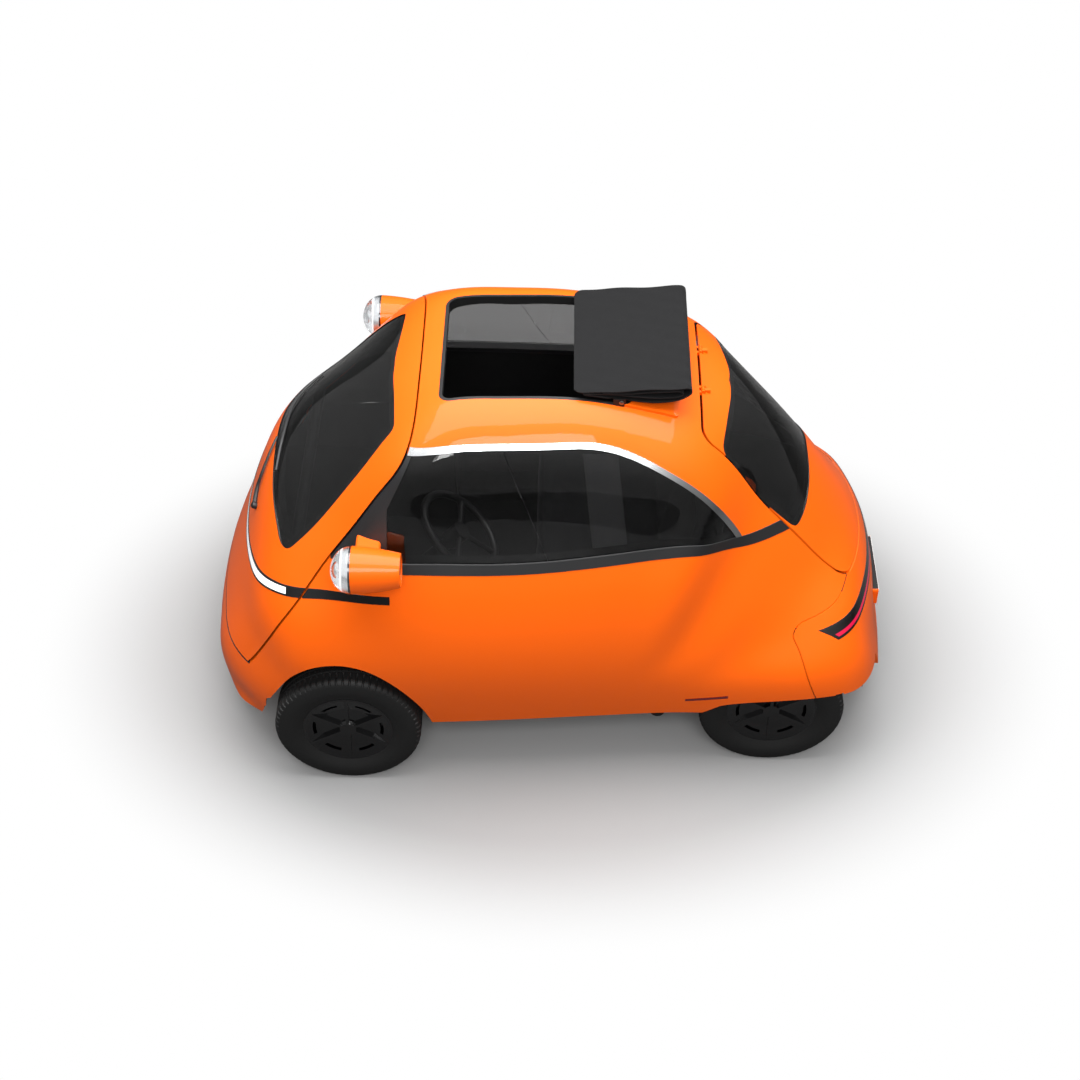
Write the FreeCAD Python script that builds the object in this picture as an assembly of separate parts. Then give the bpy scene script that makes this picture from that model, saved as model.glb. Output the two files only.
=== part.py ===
"""Two-seat bubble car with a front door, a folding cloth roof and lamp pods that carry the mirrors.

Millimetres. X runs rearward, Y to the car's right, Z up. The origin lies on the ground below
the middle of the car.
"""
import FreeCAD, Part
import math
import os

V = FreeCAD.Vector

# Whole car
LENGTH = 2519.0
WIDTH = 1473.0
HEIGHT = 1501.0
FRONT_OVERHANG = 525.0
WHEELBASE = 1552.0
FRONT_TRACK = 1300.0
REAR_TRACK = 1074.0

# Body walls and seams
WALL = 40.0
BASE_Z = 120.0
SHUT_GAP = 7.0
FIT = 0.3
OVERRUN = 60.0
GLASS_DEPTH = 3.0
GLASS_THICK = 5.0
REBATE = 26.0
TRIM_PROUD = 2.0

# Wheels
TYRE_RADIUS = 266.5
TYRE_WIDTH = 145.0
SIDEWALL_SHARES = [(0.80, 0.0), (1.0, 0.42), (0.96, 0.80), (0.84, 0.95), (0.70, 1.0)]
RIM_RADIUS = 165.0
RIM_WALL = 5.0
RIM_WIDTH = 118.0
CAP_DEPTH = 26.0
CAP_WALL = 4.0
CAP_RIBS = 6
CAP_RIB_WIDTH = 11.0
CAP_CENTRE_R = 34.0
CAP_DISH_SHARE = 0.62
CAP_SLOT_R = 118.0
CAP_SLOT_WIDTH = 12.0
STUB_RADIUS = 15.0
STUB_CLEARANCE = 0.05
HUB_RADIUS = 32.0
HUB_LENGTH = 60.0
DISC_RADIUS = 105.0
DISC_THICK = 9.0

# Wheel housings
HOUSING_REACH = 352.0
HOUSING_RISE = 378.0
HOUSING_WALL = 4.0
TYRE_PLAY = 6.0
FRONT_HOUSING_INNER_Y = 425.0
REAR_HOUSING_INNER_Y = 440.0
REAR_HOUSING_TOP = 600.0

# Floor
SILL_Z = 262.0
FLOOR_THICK = 30.0
RAIL_RISE = 70.0
RAIL_INNER_Y = 540.0
NOSE_Z = 195.0
TAIL_Z = 270.0
VALANCE_HALF = 350.0
VALANCE_TOP_HALF = 450.0
PAD_X = 320.0
PAD_REAR_X = 400.0
PAD_Y = 560.0
PAD_RADIUS = 28.0
PAD_THICK = 8.0

# Shares of half width, length and height that give the body its form.
# Each row of the belt: place along the car, height, roundness across, edge blend.
BELT_SHARES = [
    (-0.472, 0.080, 1.70, 0.088),
    (-0.500, 0.176, 1.70, 0.143),
    (-0.4956, 0.2865, 1.63, 0.143),
    (-0.468, 0.4184, 1.10, 0.139),
    (-0.4377, 0.557, 1.02, 0.122),
    (-0.402, 0.6875, 0.60, 0.098),
    (-0.329, 0.798, 0.61, 0.080),
    (-0.249, 0.897, 1.09, 0.0645),
    (-0.1693, 0.979, 2.31, 0.051),
    (-0.065, 0.9993, 3.60, 0.051),
    (0.0403, 1.0, 3.12, 0.061),
    (0.1455, 0.971, 1.55, 0.088),
    (0.2356, 0.911, 0.61, 0.061),
    (0.317, 0.796, 0.29, 0.086),
    (0.3738, 0.673, 0.32, 0.087),
    (0.420, 0.5616, 0.373, 0.100),
    (0.460, 0.453, 0.68, 0.117),
    (0.481, 0.357, 0.98, 0.070),
    (0.489, 0.2645, 1.72, 0.098),
    (0.500, 0.1745, 2.00, 0.086),
    (0.4877, 0.080, 2.13, 0.131),
]
PLAN_SHARES = [
    (-0.483, 0.856), (-0.3805, 0.979), (-0.2614, 1.006), (-0.1423, 1.002), (0.0165, 0.974),
    (0.1753, 0.909), (0.334, 0.845), (0.453, 0.766), (0.516, 0.768),
]
LEAN_SHARES = [
    (0.0666, 0.837), (0.2132, 0.921), (0.373, 0.994), (0.520, 0.971), (0.666, 0.858),
    (0.800, 0.725), (0.933, 0.616), (1.0, 0.527),
]
HIP_SHARE = 0.107
HIP_X_SHARE = 0.399
HIP_Z_SHARE = 0.215
HIP_LENGTH_SHARE = 0.207
HIP_HEIGHT_SHARE = 0.163
PATCH_ROWS = 27
BISECTIONS = 26
STEP_SHARE = 0.002
TURN_STEP = 0.01

# Seams and edges in the side view: places along the car and heights
DOOR_CUT_SHARES = [(-0.1940, 1.10), (-0.1870, 0.935), (-0.1960, 0.904), (-0.2303, 0.827),
                   (-0.2731, 0.728), (-0.3049, 0.659), (-0.3470, 0.561), (-0.3772, 0.491),
                   (-0.4105, 0.383), (-0.4325, 0.319)]
DOOR_BOTTOM_SHARE = 0.319
CHROME_SHARES = [(-0.360, 0.880), (-0.260, 0.908), (-0.1874, 0.927), (-0.135, 0.940), (-0.0687, 0.9445),
                 (0.0107, 0.9445), (0.0548, 0.941), (0.0933, 0.925), (0.1393, 0.8914), (0.1862, 0.843),
                 (0.2279, 0.7742), (0.254, 0.705), (0.2668, 0.6642), (0.282, 0.600)]
BELT_LOW_SHARES = [(-0.330, 0.6656), (-0.2013, 0.6656), (-0.0413, 0.6645), (0.0266, 0.669), (0.0901, 0.6750),
                   (0.1489, 0.6815), (0.1894, 0.6850), (0.2322, 0.6680), (0.2688, 0.6490), (0.3085, 0.6389),
                   (0.3343, 0.6320), (0.420, 0.620)]
BELT_BAND = 34.0
PILLAR_SHARES = [(-0.170, 0.97), (-0.221, 0.800), (-0.2225, 0.640)]
DIVIDER_SHARES = [(-0.075, 0.97), (-0.002, 0.680)]
BUMPER_SHARES = [(0.600, 0.465), (0.4232, 0.4637), (0.4129, 0.4540), (0.3926, 0.447), (0.3672, 0.4437),
                 (0.3510, 0.4380), (0.3454, 0.4250), (0.3501, 0.4064), (0.3628, 0.3591), (0.3835, 0.2645),
                 (0.402, 0.18), (0.418, 0.10)]
SIDE_STRIP_SHARES = [(-0.52, 0.512), (-0.4680, 0.513), (-0.4355, 0.519), (-0.4220, 0.5316), (-0.3934, 0.555),
                     (-0.3652, 0.569), (-0.3168, 0.5896), (-0.2596, 0.6035), (-0.2156, 0.6060)]
ARCH_SHARES = [(-0.4300, 0.100), (-0.4085, 0.2232), (-0.3759, 0.3331), (-0.3347, 0.4111), (-0.2946, 0.4297),
               (-0.2572, 0.4137), (-0.2175, 0.3538), (-0.1917, 0.2845), (-0.1707, 0.1759), (-0.165, 0.100)]
SILL_SHARES = [(-0.2946, 0.170), (-0.1707, 0.1755), (-0.0715, 0.1855), (0.0155, 0.1920), (0.1028, 0.1930),
               (0.204, 0.2040), (0.2215, 0.2055)]
SKIRT_SHARES = [(0.2461, 0.2425), (0.2767, 0.2570), (0.3112, 0.2625), (0.3458, 0.2640), (0.3807, 0.2612),
                (0.4168, 0.2538), (0.4355, 0.2470), (0.4549, 0.2432), (0.520, 0.2432)]
MARKER_SHARES = [(0.1949, 0.2645), (0.2257, 0.2730), (0.2557, 0.2820)]
STRIP_HEIGHT = 27.0
STRIP_END_SHARE = -0.2190
STRIP_DEPTH = 4.0
STRIP_PROUD = 1.5

# Windscreen and rear window, each seen square to its rake: shares of half width and of height,
# counted up the slope
RAKE = 45.0
SCREEN_SHARES = [(0.0, 0.398), (0.20, 0.401), (0.38, 0.402), (0.432, 0.397), (0.462, 0.374), (0.509, 0.318),
                 (0.570, 0.205), (0.615, 0.107), (0.636, 0.040), (0.630, 0.012), (0.595, 0.0),
                 (0.52, -0.002), (0.38, 0.002), (0.20, 0.011), (0.0, 0.017)]
REAR_GLASS_SHARES = [(0.0, 0.345), (0.20, 0.343), (0.36, 0.343), (0.425, 0.335), (0.445, 0.300), (0.440, 0.150),
                     (0.430, 0.060), (0.412, 0.032), (0.37, 0.026), (0.285, 0.027), (0.14, 0.040), (0.0, 0.050)]

# Tailgate
HATCH_HALF_WIDTH = 330.0
HATCH_FRONT_X = 507.0
HATCH_BOTTOM = 698.0
HATCH_CORNER = 42.0
HATCH_FRONT_GAP = 9.0

# Lights in the skin
TAIL_LIGHT_Z = 607.0
TAIL_LIGHT_HEIGHT = 46.0
TAIL_LIGHT_HALF = 526.0
LIGHT_BORDER = 8.0
STRIP_BORDER = 5.0
SIDE_MARKER_HEIGHT = 13.0
CHROME_WIDTH = 16.0
SEAM_WIDTH = 4.0
SEAM_DEPTH = 10.0

# Number plate pad and towing eye on the tail
PLATE_X = 1239.0
PLATE_Z = 420.0
PLATE_PAD_HALF = 150.0
PLATE_PAD_HEIGHT = 80.0
PLATE_BOLT_R = 3.0
PLATE_BOLT_SPACING = 240.0
PLATE_BOLT_DEPTH = 15.0
EYE_X = 1249.0
EYE_Y = 200.0
EYE_Z = 320.0
EYE_BOSS_R = 15.0
EYE_HOLE_R = 8.0
EYE_HOLE_DEPTH = 34.0

# Roof opening and folded cloth. The stack's outline is drawn in the side view from its front
# edge over the top and round the loop at its rear.
OPENING_FRONT_X = -386.0
OPENING_REAR_X = 275.0
OPENING_HALF = 290.0
OPENING_CORNER = 45.0
SEAL_WIDTH = 12.0
PLINTH_RISE = 12.0
PLINTH_REAR_X = 428.0
PLINTH_HALF = 288.0
STACK_TOP_SHARES = [(0.0282, 1.0087), (0.0310, 1.0137), (0.0794, 1.0200), (0.1310, 1.0263), (0.1747, 1.0310),
                    (0.1818, 1.0300)]
STACK_LOOP_SHARES = [(0.1818, 1.0300), (0.1862, 1.0220), (0.1854, 1.0100), (0.1775, 1.0000), (0.1663, 0.9927),
                     (0.1310, 0.9860), (0.1040, 0.9847)]
STACK_UNDER_SHARES = [(0.1040, 0.9847), (0.0794, 0.9913), (0.0476, 1.0013), (0.0302, 1.0047)]
STACK_HALF = 290.0
STACK_CORNER = 34.0
BRACKET_X = 205.0
BRACKET_LENGTH = 56.0
BRACKET_TOP = 1498.0
BRACKET_THICK = 4.0

# Lamp pods
POD_X = -668.0
POD_Y = 697.0
POD_Z = 1080.0
POD_RADIUS = 82.0
POD_LENGTH = 165.0
POD_REAR_SHARE = 0.72
POD_WALL = 4.0
LENS_LENGTH = 74.0
MIRROR_THICK = 3.0
MIRROR_INSET = 6.0
ARM_HEIGHT = 46.0
ARM_LENGTH = 90.0

# Hinges: a fixed pin in two knuckles, and the moving eye between them
HINGE_CLEARANCE = 0.06
HINGE_PLAY = 1.0
HINGE_ROOM = 6.5

# Front door hinge, on the car's right
DOOR_HINGE_X = -1010.0
DOOR_HINGE_Y = 628.0
DOOR_HINGE_Z = 585.0
DOOR_PIN_R = 5.0
DOOR_EYE_R = 10.0
DOOR_KNUCKLE = 22.0
DOOR_EYE = 34.0
DOOR_LEAF = 36.0
DOOR_LEAF_THICK = 26.0

# Tailgate hinges
HATCH_HINGE_X = 520.0
HATCH_HINGE_Y = 110.0
HATCH_HINGE_Z = 1400.0
HATCH_PIN_R = 3.0
HATCH_EYE_R = 6.0
HATCH_KNUCKLE = 10.0
HATCH_EYE = 14.0
HATCH_LEAF = 26.0
HATCH_LEAF_THICK = 14.0

# Seat
SEAT_FRONT_X = -60.0
SEAT_REAR_X = 440.0
SEAT_HALF = 480.0
SEAT_Z = 470.0
SEAT_THICK = 150.0
BACK_BOTTOM_X = 392.0
BACK_RAKE = 105.0
BACK_TOP_Z = 1090.0
BACK_THICK = 120.0
HEADREST_Y = 235.0
HEADREST_WIDTH = 250.0
HEADREST_HEIGHT = 150.0
HEADREST_THICK = 85.0
SEAT_FRAME_WALL = 3.0
SEAT_PLAY = 12.0

# Steering
WHEEL_CENTRE_X = -330.0
WHEEL_CENTRE_Y = -255.0
WHEEL_CENTRE_Z = 840.0
WHEEL_RADIUS = 165.0
WHEEL_RIM_R = 14.0
HUB_SHARE = 1.5
SPOKE_SHARE = 0.7
COLUMN_RADIUS = 24.0
COLUMN_FOOT_X = -700.0
COLUMN_FOOT_Z = 420.0

# Bar across the door
BAR_X = -905.0
BAR_Z = 890.0
BAR_RADIUS = 22.0

# Running gear
STEER_LOCK = 30.0
LOCK_STEPS = 6
KNUCKLE_HEIGHT = 170.0
KNUCKLE_RADIUS = 30.0
STRUT_RADIUS = 20.0
ARM_RADIUS = 15.0
BATTERY_LENGTH = 560.0
BATTERY_WIDTH = 720.0
BATTERY_HEIGHT = 150.0
MOTOR_LENGTH = 300.0
MOTOR_RADIUS = 120.0
BAY_X = 500.0
BAY_HALF = 380.0


class Curve:
    """Natural cubic spline through pairs of place and value."""

    def __init__(self, pairs):
        self.t = [pair[0] for pair in pairs]
        self.v = [pair[1] for pair in pairs]
        count = len(pairs)
        span = [self.t[i + 1] - self.t[i] for i in range(count - 1)]
        low = [0.0] * count
        mid = [1.0] * count
        up = [0.0] * count
        rhs = [0.0] * count
        for i in range(1, count - 1):
            low[i] = span[i - 1]
            mid[i] = 2 * (span[i - 1] + span[i])
            up[i] = span[i]
            after = (self.v[i + 1] - self.v[i]) / span[i]
            before = (self.v[i] - self.v[i - 1]) / span[i - 1]
            rhs[i] = 6 * (after - before)
        for i in range(1, count):
            factor = low[i] / mid[i - 1]
            mid[i] -= factor * up[i - 1]
            rhs[i] -= factor * rhs[i - 1]
        self.m = [0.0] * count
        for i in range(count - 2, 0, -1):
            self.m[i] = (rhs[i] - up[i] * self.m[i + 1]) / mid[i]

    def __call__(self, t):
        last = len(self.t) - 1
        if t <= self.t[0]:
            span = self.t[1] - self.t[0]
            slope = (self.v[1] - self.v[0]) / span - span * self.m[1] / 6
            return self.v[0] + slope * (t - self.t[0])
        if t >= self.t[last]:
            span = self.t[last] - self.t[last - 1]
            slope = (self.v[last] - self.v[last - 1]) / span + span * self.m[last - 1] / 6
            return self.v[last] + slope * (t - self.t[last])
        low = 0
        high = last
        while high - low > 1:
            middle = (low + high) // 2
            if self.t[middle] <= t:
                low = middle
            else:
                high = middle
        span = self.t[high] - self.t[low]
        a = (self.t[high] - t) / span
        b = (t - self.t[low]) / span
        bend = (a ** 3 - a) * self.m[low] + (b ** 3 - b) * self.m[high]
        return a * self.v[low] + b * self.v[high] + bend * span * span / 6


class Skin:
    """Smooth outer skin: a bulging belt of profiles met by leaning side walls."""

    def __init__(self):
        rows = []
        for x, z, across, blend in BELT_SHARES:
            px = x * LENGTH
            pz = z * HEIGHT - BASE_Z
            rows.append((math.atan2(pz, px), math.hypot(px, pz), across * WIDTH, blend * WIDTH))
        rows.sort()
        self.reach = Curve([(row[0], row[1]) for row in rows])
        self.across = Curve([(row[0], WIDTH / row[2]) for row in rows])
        self.blend = Curve([(row[0], row[3]) for row in rows])
        self.plan = Curve(PLAN_SHARES)
        self.lean = Curve(LEAN_SHARES)
        self.solids = {}
        self.walls = {}

    def half_width(self, x, z):
        """Half width of the side walls, with the swell over the rear wheels."""
        along = (x / LENGTH - HIP_X_SHARE) / HIP_LENGTH_SHARE
        up = (z / HEIGHT - HIP_Z_SHARE) / HIP_HEIGHT_SHARE
        hip = HIP_SHARE * math.exp(-along * along - up * up)
        return WIDTH / 2 * (self.plan(x / LENGTH) * self.lean(z / HEIGHT) + hip)

    def depth(self, x, y, z):
        """Distance outside the skin, negative inside."""
        step = STEP_SHARE * LENGTH
        turn = math.atan2(z - BASE_Z, x)
        away = math.hypot(x, z - BASE_Z)
        slope = (self.reach(turn + TURN_STEP) - self.reach(turn - TURN_STEP)) / (2 * TURN_STEP)
        bow = self.across(turn) / WIDTH
        over_belt = away - self.reach(turn) + bow * y * y / 2
        over_belt /= math.sqrt(1 + (slope / max(away, step)) ** 2 + (bow * y) ** 2)
        half = self.half_width(x, z)
        along = (self.half_width(x + step, z) - self.half_width(x - step, z)) / (2 * step)
        up = (self.half_width(x, z + step) - self.half_width(x, z - step)) / (2 * step)
        over_side = (abs(y) - half) / math.sqrt(1 + along * along + up * up)
        round_r = self.blend(turn)
        a = max(over_side + round_r, 0)
        b = max(over_belt + round_r, 0)
        return min(max(over_side, over_belt), -round_r) + math.hypot(a, b)

    def point(self, a, b, inset):
        """Point of the skin, or of the surface a given depth inside it, on one ray of a dome."""
        dx = a * math.sqrt(1 - b * b / 2)
        dy = b * math.sqrt(1 - a * a / 2)
        size = math.hypot(dx, dy)
        tilt = size * math.pi / 2
        factor = math.sin(tilt) / size if size > 0 else 0
        ray = (dx * factor, dy * factor, math.cos(tilt))
        near = 0.0
        far = LENGTH
        for _ in range(BISECTIONS):
            half = (near + far) / 2
            if self.depth(ray[0] * half, ray[1] * half, BASE_Z + ray[2] * half) < -inset:
                near = half
            else:
                far = half
        return V(ray[0] * near, ray[1] * near, BASE_Z + ray[2] * near if size < 1 else BASE_Z)

    def solid(self, inset):
        """Closed dome whose skin lies a given depth inside the outer skin."""
        if inset in self.solids:
            return self.solids[inset]
        steps = [2 * i / (PATCH_ROWS - 1) - 1 for i in range(PATCH_ROWS)]
        half = [[self.point(a, b, inset) for b in steps if b <= 0] for a in steps]
        grid = []
        for row in half:
            mirrored = [V(p.x, -p.y, p.z) for p in reversed(row[:-1])]
            middle = V(row[-1].x, 0, row[-1].z)
            grid.append(row[:-1] + [middle] + mirrored)
        surface = Part.BSplineSurface()
        surface.interpolate(grid)
        cover = surface.toShape()
        base = Part.Face(Part.Wire(Part.sortEdges(cover.Edges)[0]))
        dome = Part.Solid(Part.makeShell([cover, base]))
        if dome.Volume < 0:
            dome.reverse()
        self.solids[inset] = dome
        return dome

    def wall(self, outer, inner):
        """Wall between two depths, down to the nose's lower edge."""
        key = (outer, inner)
        if key not in self.walls:
            above = Part.makeBox(2 * LENGTH, 2 * WIDTH, 2 * HEIGHT, V(-LENGTH, -WIDTH, NOSE_Z))
            self.walls[key] = self.solid(outer).common(above).cut(self.solid(inner))
        return self.walls[key]


SKIN = Skin()


class Hinge:
    """Fixed knuckles with a pin, and a moving eye, along one hinge line.

    fixed_way points from the line to the fixed panel, inward from the skin to the inside.
    """

    def __init__(self, start, along, fixed_way, inward, pin_r, eye_r, knuckle, eye, leaf, thick):
        self.start = start
        self.along = along
        self.fixed_way = fixed_way
        self.inward = inward
        self.pin_r = pin_r
        self.eye_r = eye_r
        self.leaf = leaf
        self.thick = thick
        first = knuckle + HINGE_PLAY
        second = first + eye + HINGE_PLAY
        self.knuckles = [(0, knuckle), (second, second + knuckle)]
        self.eye = (first, first + eye)

    def sleeve(self, radius, span, grow):
        foot = self.start + self.along * (span[0] - grow)
        return Part.makeCylinder(radius, span[1] - span[0] + 2 * grow, foot, self.along)

    def plate(self, way, span, grow):
        """Leaf from the line towards one panel, grown all round by a clearance."""
        a = self.start + self.along * (span[0] - min(grow, HINGE_PLAY)) - self.inward * grow
        b = self.start + self.along * (span[1] + min(grow, HINGE_PLAY)) + self.inward * (self.thick + grow)
        b = b + way * (self.leaf + grow)
        return box(min(a.x, b.x), max(a.x, b.x), min(a.y, b.y), max(a.y, b.y), min(a.z, b.z), max(a.z, b.z))

    def on_fixed(self, panel):
        """Fixed panel with its knuckles and pin, and room for the moving eye."""
        room = self.sleeve(self.eye_r + HINGE_ROOM, self.eye, HINGE_PLAY)
        panel = panel.cut(room.fuse(self.plate(self.fixed_way * -1, self.eye, HINGE_ROOM)))
        pieces = [self.sleeve(self.pin_r, (self.knuckles[0][0], self.knuckles[1][1]), 0)]
        for span in self.knuckles:
            pieces.append(self.sleeve(self.eye_r, span, 0))
            pieces.append(self.plate(self.fixed_way, span, 0))
        return merged(panel, *pieces)

    def on_moving(self, panel):
        """Moving panel with its eye, and room for the fixed knuckles."""
        for span in self.knuckles:
            room = self.sleeve(self.eye_r + HINGE_ROOM, span, HINGE_PLAY)
            panel = panel.cut(room.fuse(self.plate(self.fixed_way, span, HINGE_ROOM)))
        eye = self.sleeve(self.eye_r, self.eye, 0)
        panel = merged(panel, eye, self.plate(self.fixed_way * -1, self.eye, 0))
        return panel.cut(self.sleeve(self.pin_r + HINGE_CLEARANCE, self.eye, HINGE_PLAY / 2))


def door_hinge():
    return Hinge(V(DOOR_HINGE_X, DOOR_HINGE_Y, DOOR_HINGE_Z), V(0, 0, 1), V(1, 0, 0), V(0, -1, 0),
                 DOOR_PIN_R, DOOR_EYE_R, DOOR_KNUCKLE, DOOR_EYE, DOOR_LEAF, DOOR_LEAF_THICK)


def hatch_hinges():
    """Left and right hinge of the tailgate, at the roof's rear edge."""
    width = 2 * (HATCH_KNUCKLE + HINGE_PLAY) + HATCH_EYE
    starts = (-HATCH_HINGE_Y - width / 2, HATCH_HINGE_Y - width / 2)
    return [Hinge(V(HATCH_HINGE_X, y, HATCH_HINGE_Z), V(0, 1, 0), V(-1, 0, 0), V(0, 0, -1),
                  HATCH_PIN_R, HATCH_EYE_R, HATCH_KNUCKLE, HATCH_EYE, HATCH_LEAF, HATCH_LEAF_THICK)
            for y in starts]


def side(shares):
    """Points in the side view from shares of length and height."""
    return [(x * LENGTH, z * HEIGHT) for x, z in shares]


def end_on(shares):
    """Points in an end view from shares of half width and height."""
    return [(y * WIDTH / 2, z * HEIGHT) for y, z in shares]


def shifted(points, gap):
    """The same open line moved sideways, to the left of its run for a positive gap."""
    moved = []
    for i, (u, v) in enumerate(points):
        before = points[max(i - 1, 0)]
        after = points[min(i + 1, len(points) - 1)]
        du = after[0] - before[0]
        dv = after[1] - before[1]
        size = math.hypot(du, dv)
        moved.append((u - gap * dv / size, v + gap * du / size))
    return moved


def lifted(points, rise):
    return [(u, v + rise) for u, v in points]


def prism(view, stretches, low, high):
    """Solid drawn in one view, from open stretches that join end to start, curved where long."""
    slope = math.radians(RAKE)
    flat = math.cos(slope)
    rise = math.sin(slope)
    place = {
        "side": lambda u, v: V(u, low, v),
        "front": lambda u, v: V(low, u, v),
        "top": lambda u, v: V(u, v, low),
        "screen": lambda u, v: V(v * flat - low * rise, u, v * rise + low * flat),
        "tail": lambda u, v: V(low * rise - v * flat, u, v * rise + low * flat),
    }[view]
    pull = {
        "side": V(0, high - low, 0),
        "front": V(high - low, 0, 0),
        "top": V(0, 0, high - low),
        "screen": V((low - high) * rise, 0, (high - low) * flat),
        "tail": V((high - low) * rise, 0, (high - low) * flat),
    }[view]
    edges = []
    for i, stretch in enumerate(stretches):
        end = stretches[(i + 1) % len(stretches)][0]
        points = [place(u, v) for u, v in stretch]
        if math.hypot(stretch[-1][0] - end[0], stretch[-1][1] - end[1]) > FIT / 100:
            tail = Part.makeLine(points[-1], place(*end))
        else:
            tail = None
        if len(points) == 2:
            edges.append(Part.makeLine(points[0], points[1]))
        elif len(points) > 2:
            curve = Part.BSplineCurve()
            curve.interpolate(points)
            edges.append(curve.toShape())
        if tail:
            edges.append(tail)
    return Part.Face(Part.Wire(edges)).extrude(pull)


def rounded(view, u0, v0, u1, v1, corner, low, high):
    """Prism over a rectangle with round corners."""
    block = prism(view, [[(u0, v0)], [(u1, v0)], [(u1, v1)], [(u0, v1)]], low, high)
    axis = {"side": V(0, 1, 0), "front": V(1, 0, 0), "top": V(0, 0, 1)}[view]
    edges = []
    for edge in block.Edges:
        run = edge.Vertexes[1].Point - edge.Vertexes[0].Point
        if abs(run.normalize().dot(axis)) > 1 / 2:
            edges.append(edge)
    return block.makeFillet(corner, edges)


def box(x0, x1, y0, y1, z0, z1):
    return Part.makeBox(x1 - x0, y1 - y0, z1 - z0, V(x0, y0, z0))


def rod(start, end, radius):
    run = end - start
    return Part.makeCylinder(radius, run.Length, start, run)


def merged(first, *others):
    """One solid from pieces that overlap."""
    return first.multiFuse(list(others)).removeSplitter()


def mirrored(shape):
    return shape.mirror(V(0, 0, 0), V(0, 1, 0))


def pair(shape):
    """A shape of the left side together with its twin on the right."""
    return Part.makeCompound(shape.Solids + mirrored(shape).Solids)


def left_half(shape):
    return shape.common(box(-LENGTH, LENGTH, -WIDTH, 0, -HEIGHT, 2 * HEIGHT))


def tidy(shape):
    """The solids of a shape, without slivers."""
    solids = [s for s in shape.Solids if s.Volume > WALL ** 3 / 1000]
    return solids[0] if len(solids) == 1 else Part.makeCompound(solids)


def front_axle_x():
    return FRONT_OVERHANG - LENGTH / 2


def rear_axle_x():
    return front_axle_x() + WHEELBASE


FAR = LENGTH
TALL = HEIGHT + OVERRUN * 2


def door_region(gap):
    """Everything ahead of the door's cut line and above its lower edge."""
    line = shifted(side(DOOR_CUT_SHARES), -gap)
    bottom = DOOR_BOTTOM_SHARE * HEIGHT + gap
    line = [p for p in line if p[1] > bottom + WALL] + [(line[-1][0], bottom)]
    return prism("side", [line, [(-FAR, bottom)], [(-FAR, TALL + HEIGHT)], [(line[0][0], TALL + HEIGHT)]],
                 -WIDTH, WIDTH)


def below(points, gap=0.0):
    """Everything below a line of the side view that runs rearward."""
    line = lifted(points, -gap)
    line = [(-FAR, line[0][1])] + line + [(FAR, line[-1][1])]
    spline = line[1:-1]
    return prism("side", [spline, [(FAR, spline[-1][1])], [(FAR, -HEIGHT)], [(-FAR, -HEIGHT)],
                          [(-FAR, spline[0][1])]], -WIDTH, WIDTH)


def hatch_region(gap):
    """Everything inside the tailgate's cut lines."""
    half = HATCH_HALF_WIDTH - gap
    front = HATCH_FRONT_X + (HATCH_FRONT_GAP if gap > 0 else 0)
    plan = rounded("top", front, -half, FAR, half, HATCH_CORNER, 0, TALL)
    rear = rounded("front", -half, HATCH_BOTTOM + gap, half, TALL + HEIGHT, HATCH_CORNER, 0, FAR)
    return plan.common(rear)


def bumper_region(gap):
    """Everything behind the rear bumper's cut line."""
    line = shifted(side(BUMPER_SHARES), gap)
    return prism("side", [line, [(FAR, line[-1][1])], [(FAR, line[0][1])]], -WIDTH, WIDTH)


def window_top():
    """Edge of the side window below its bright strip."""
    return shifted(side(CHROME_SHARES), -CHROME_WIDTH)


def window_region():
    """Side window from the roof's edge to the belt, through both sides."""
    top = window_top()
    low = top[-1][1] - OVERRUN
    return prism("side", [top, [(top[-1][0], low)], [(top[0][0], low)]], -WIDTH, WIDTH)


def pillar_region(gap):
    """Everything ahead of the side window's front edge."""
    line = shifted(side(PILLAR_SHARES), -gap)
    return prism("side", [line[:1], line[1:2], line[2:], [(line[-1][0], 0)], [(-FAR, 0)], [(-FAR, line[0][1])]],
                 -WIDTH, WIDTH)


def strip_region(points, height, grow):
    """Band of even height along a line of the side view."""
    top = lifted(points, height / 2 + grow)
    low = lifted(points, -height / 2 - grow)
    return prism("side", [top, list(reversed(low))], -WIDTH, WIDTH)


def arch_opening():
    """Front wheel openings through both sides."""
    arch = side(ARCH_SHARES)
    return prism("side", [arch, [(arch[-1][0], -OVERRUN)], [(arch[0][0], -OVERRUN)]], -WIDTH, WIDTH)


def under_body():
    """Everything below the sills and the skirts over the rear wheels, beside the tail's valance."""
    sill = side(SILL_SHARES)
    skirt = side(SKIRT_SHARES)
    low = prism("side", [sill, skirt, [(skirt[-1][0], -OVERRUN)], [(sill[0][0], -OVERRUN)]], -WIDTH, WIDTH)
    top = skirt[0][1] * 3 / 2
    valance = prism("front", [[(-VALANCE_HALF, TAIL_Z)], [(VALANCE_HALF, TAIL_Z)], [(VALANCE_TOP_HALF, top)],
                              [(-VALANCE_TOP_HALF, top)]], rear_axle_x(), FAR)
    return low.cut(valance)


def lower_body():
    """Painted shell below the belt, all round, with the wheel openings cut."""
    shell = SKIN.wall(0, WALL).common(below(side(BELT_LOW_SHARES)))
    shell = shell.cut(door_region(0)).cut(hatch_region(0)).cut(bumper_region(0))
    return shell.cut(arch_opening())


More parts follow.
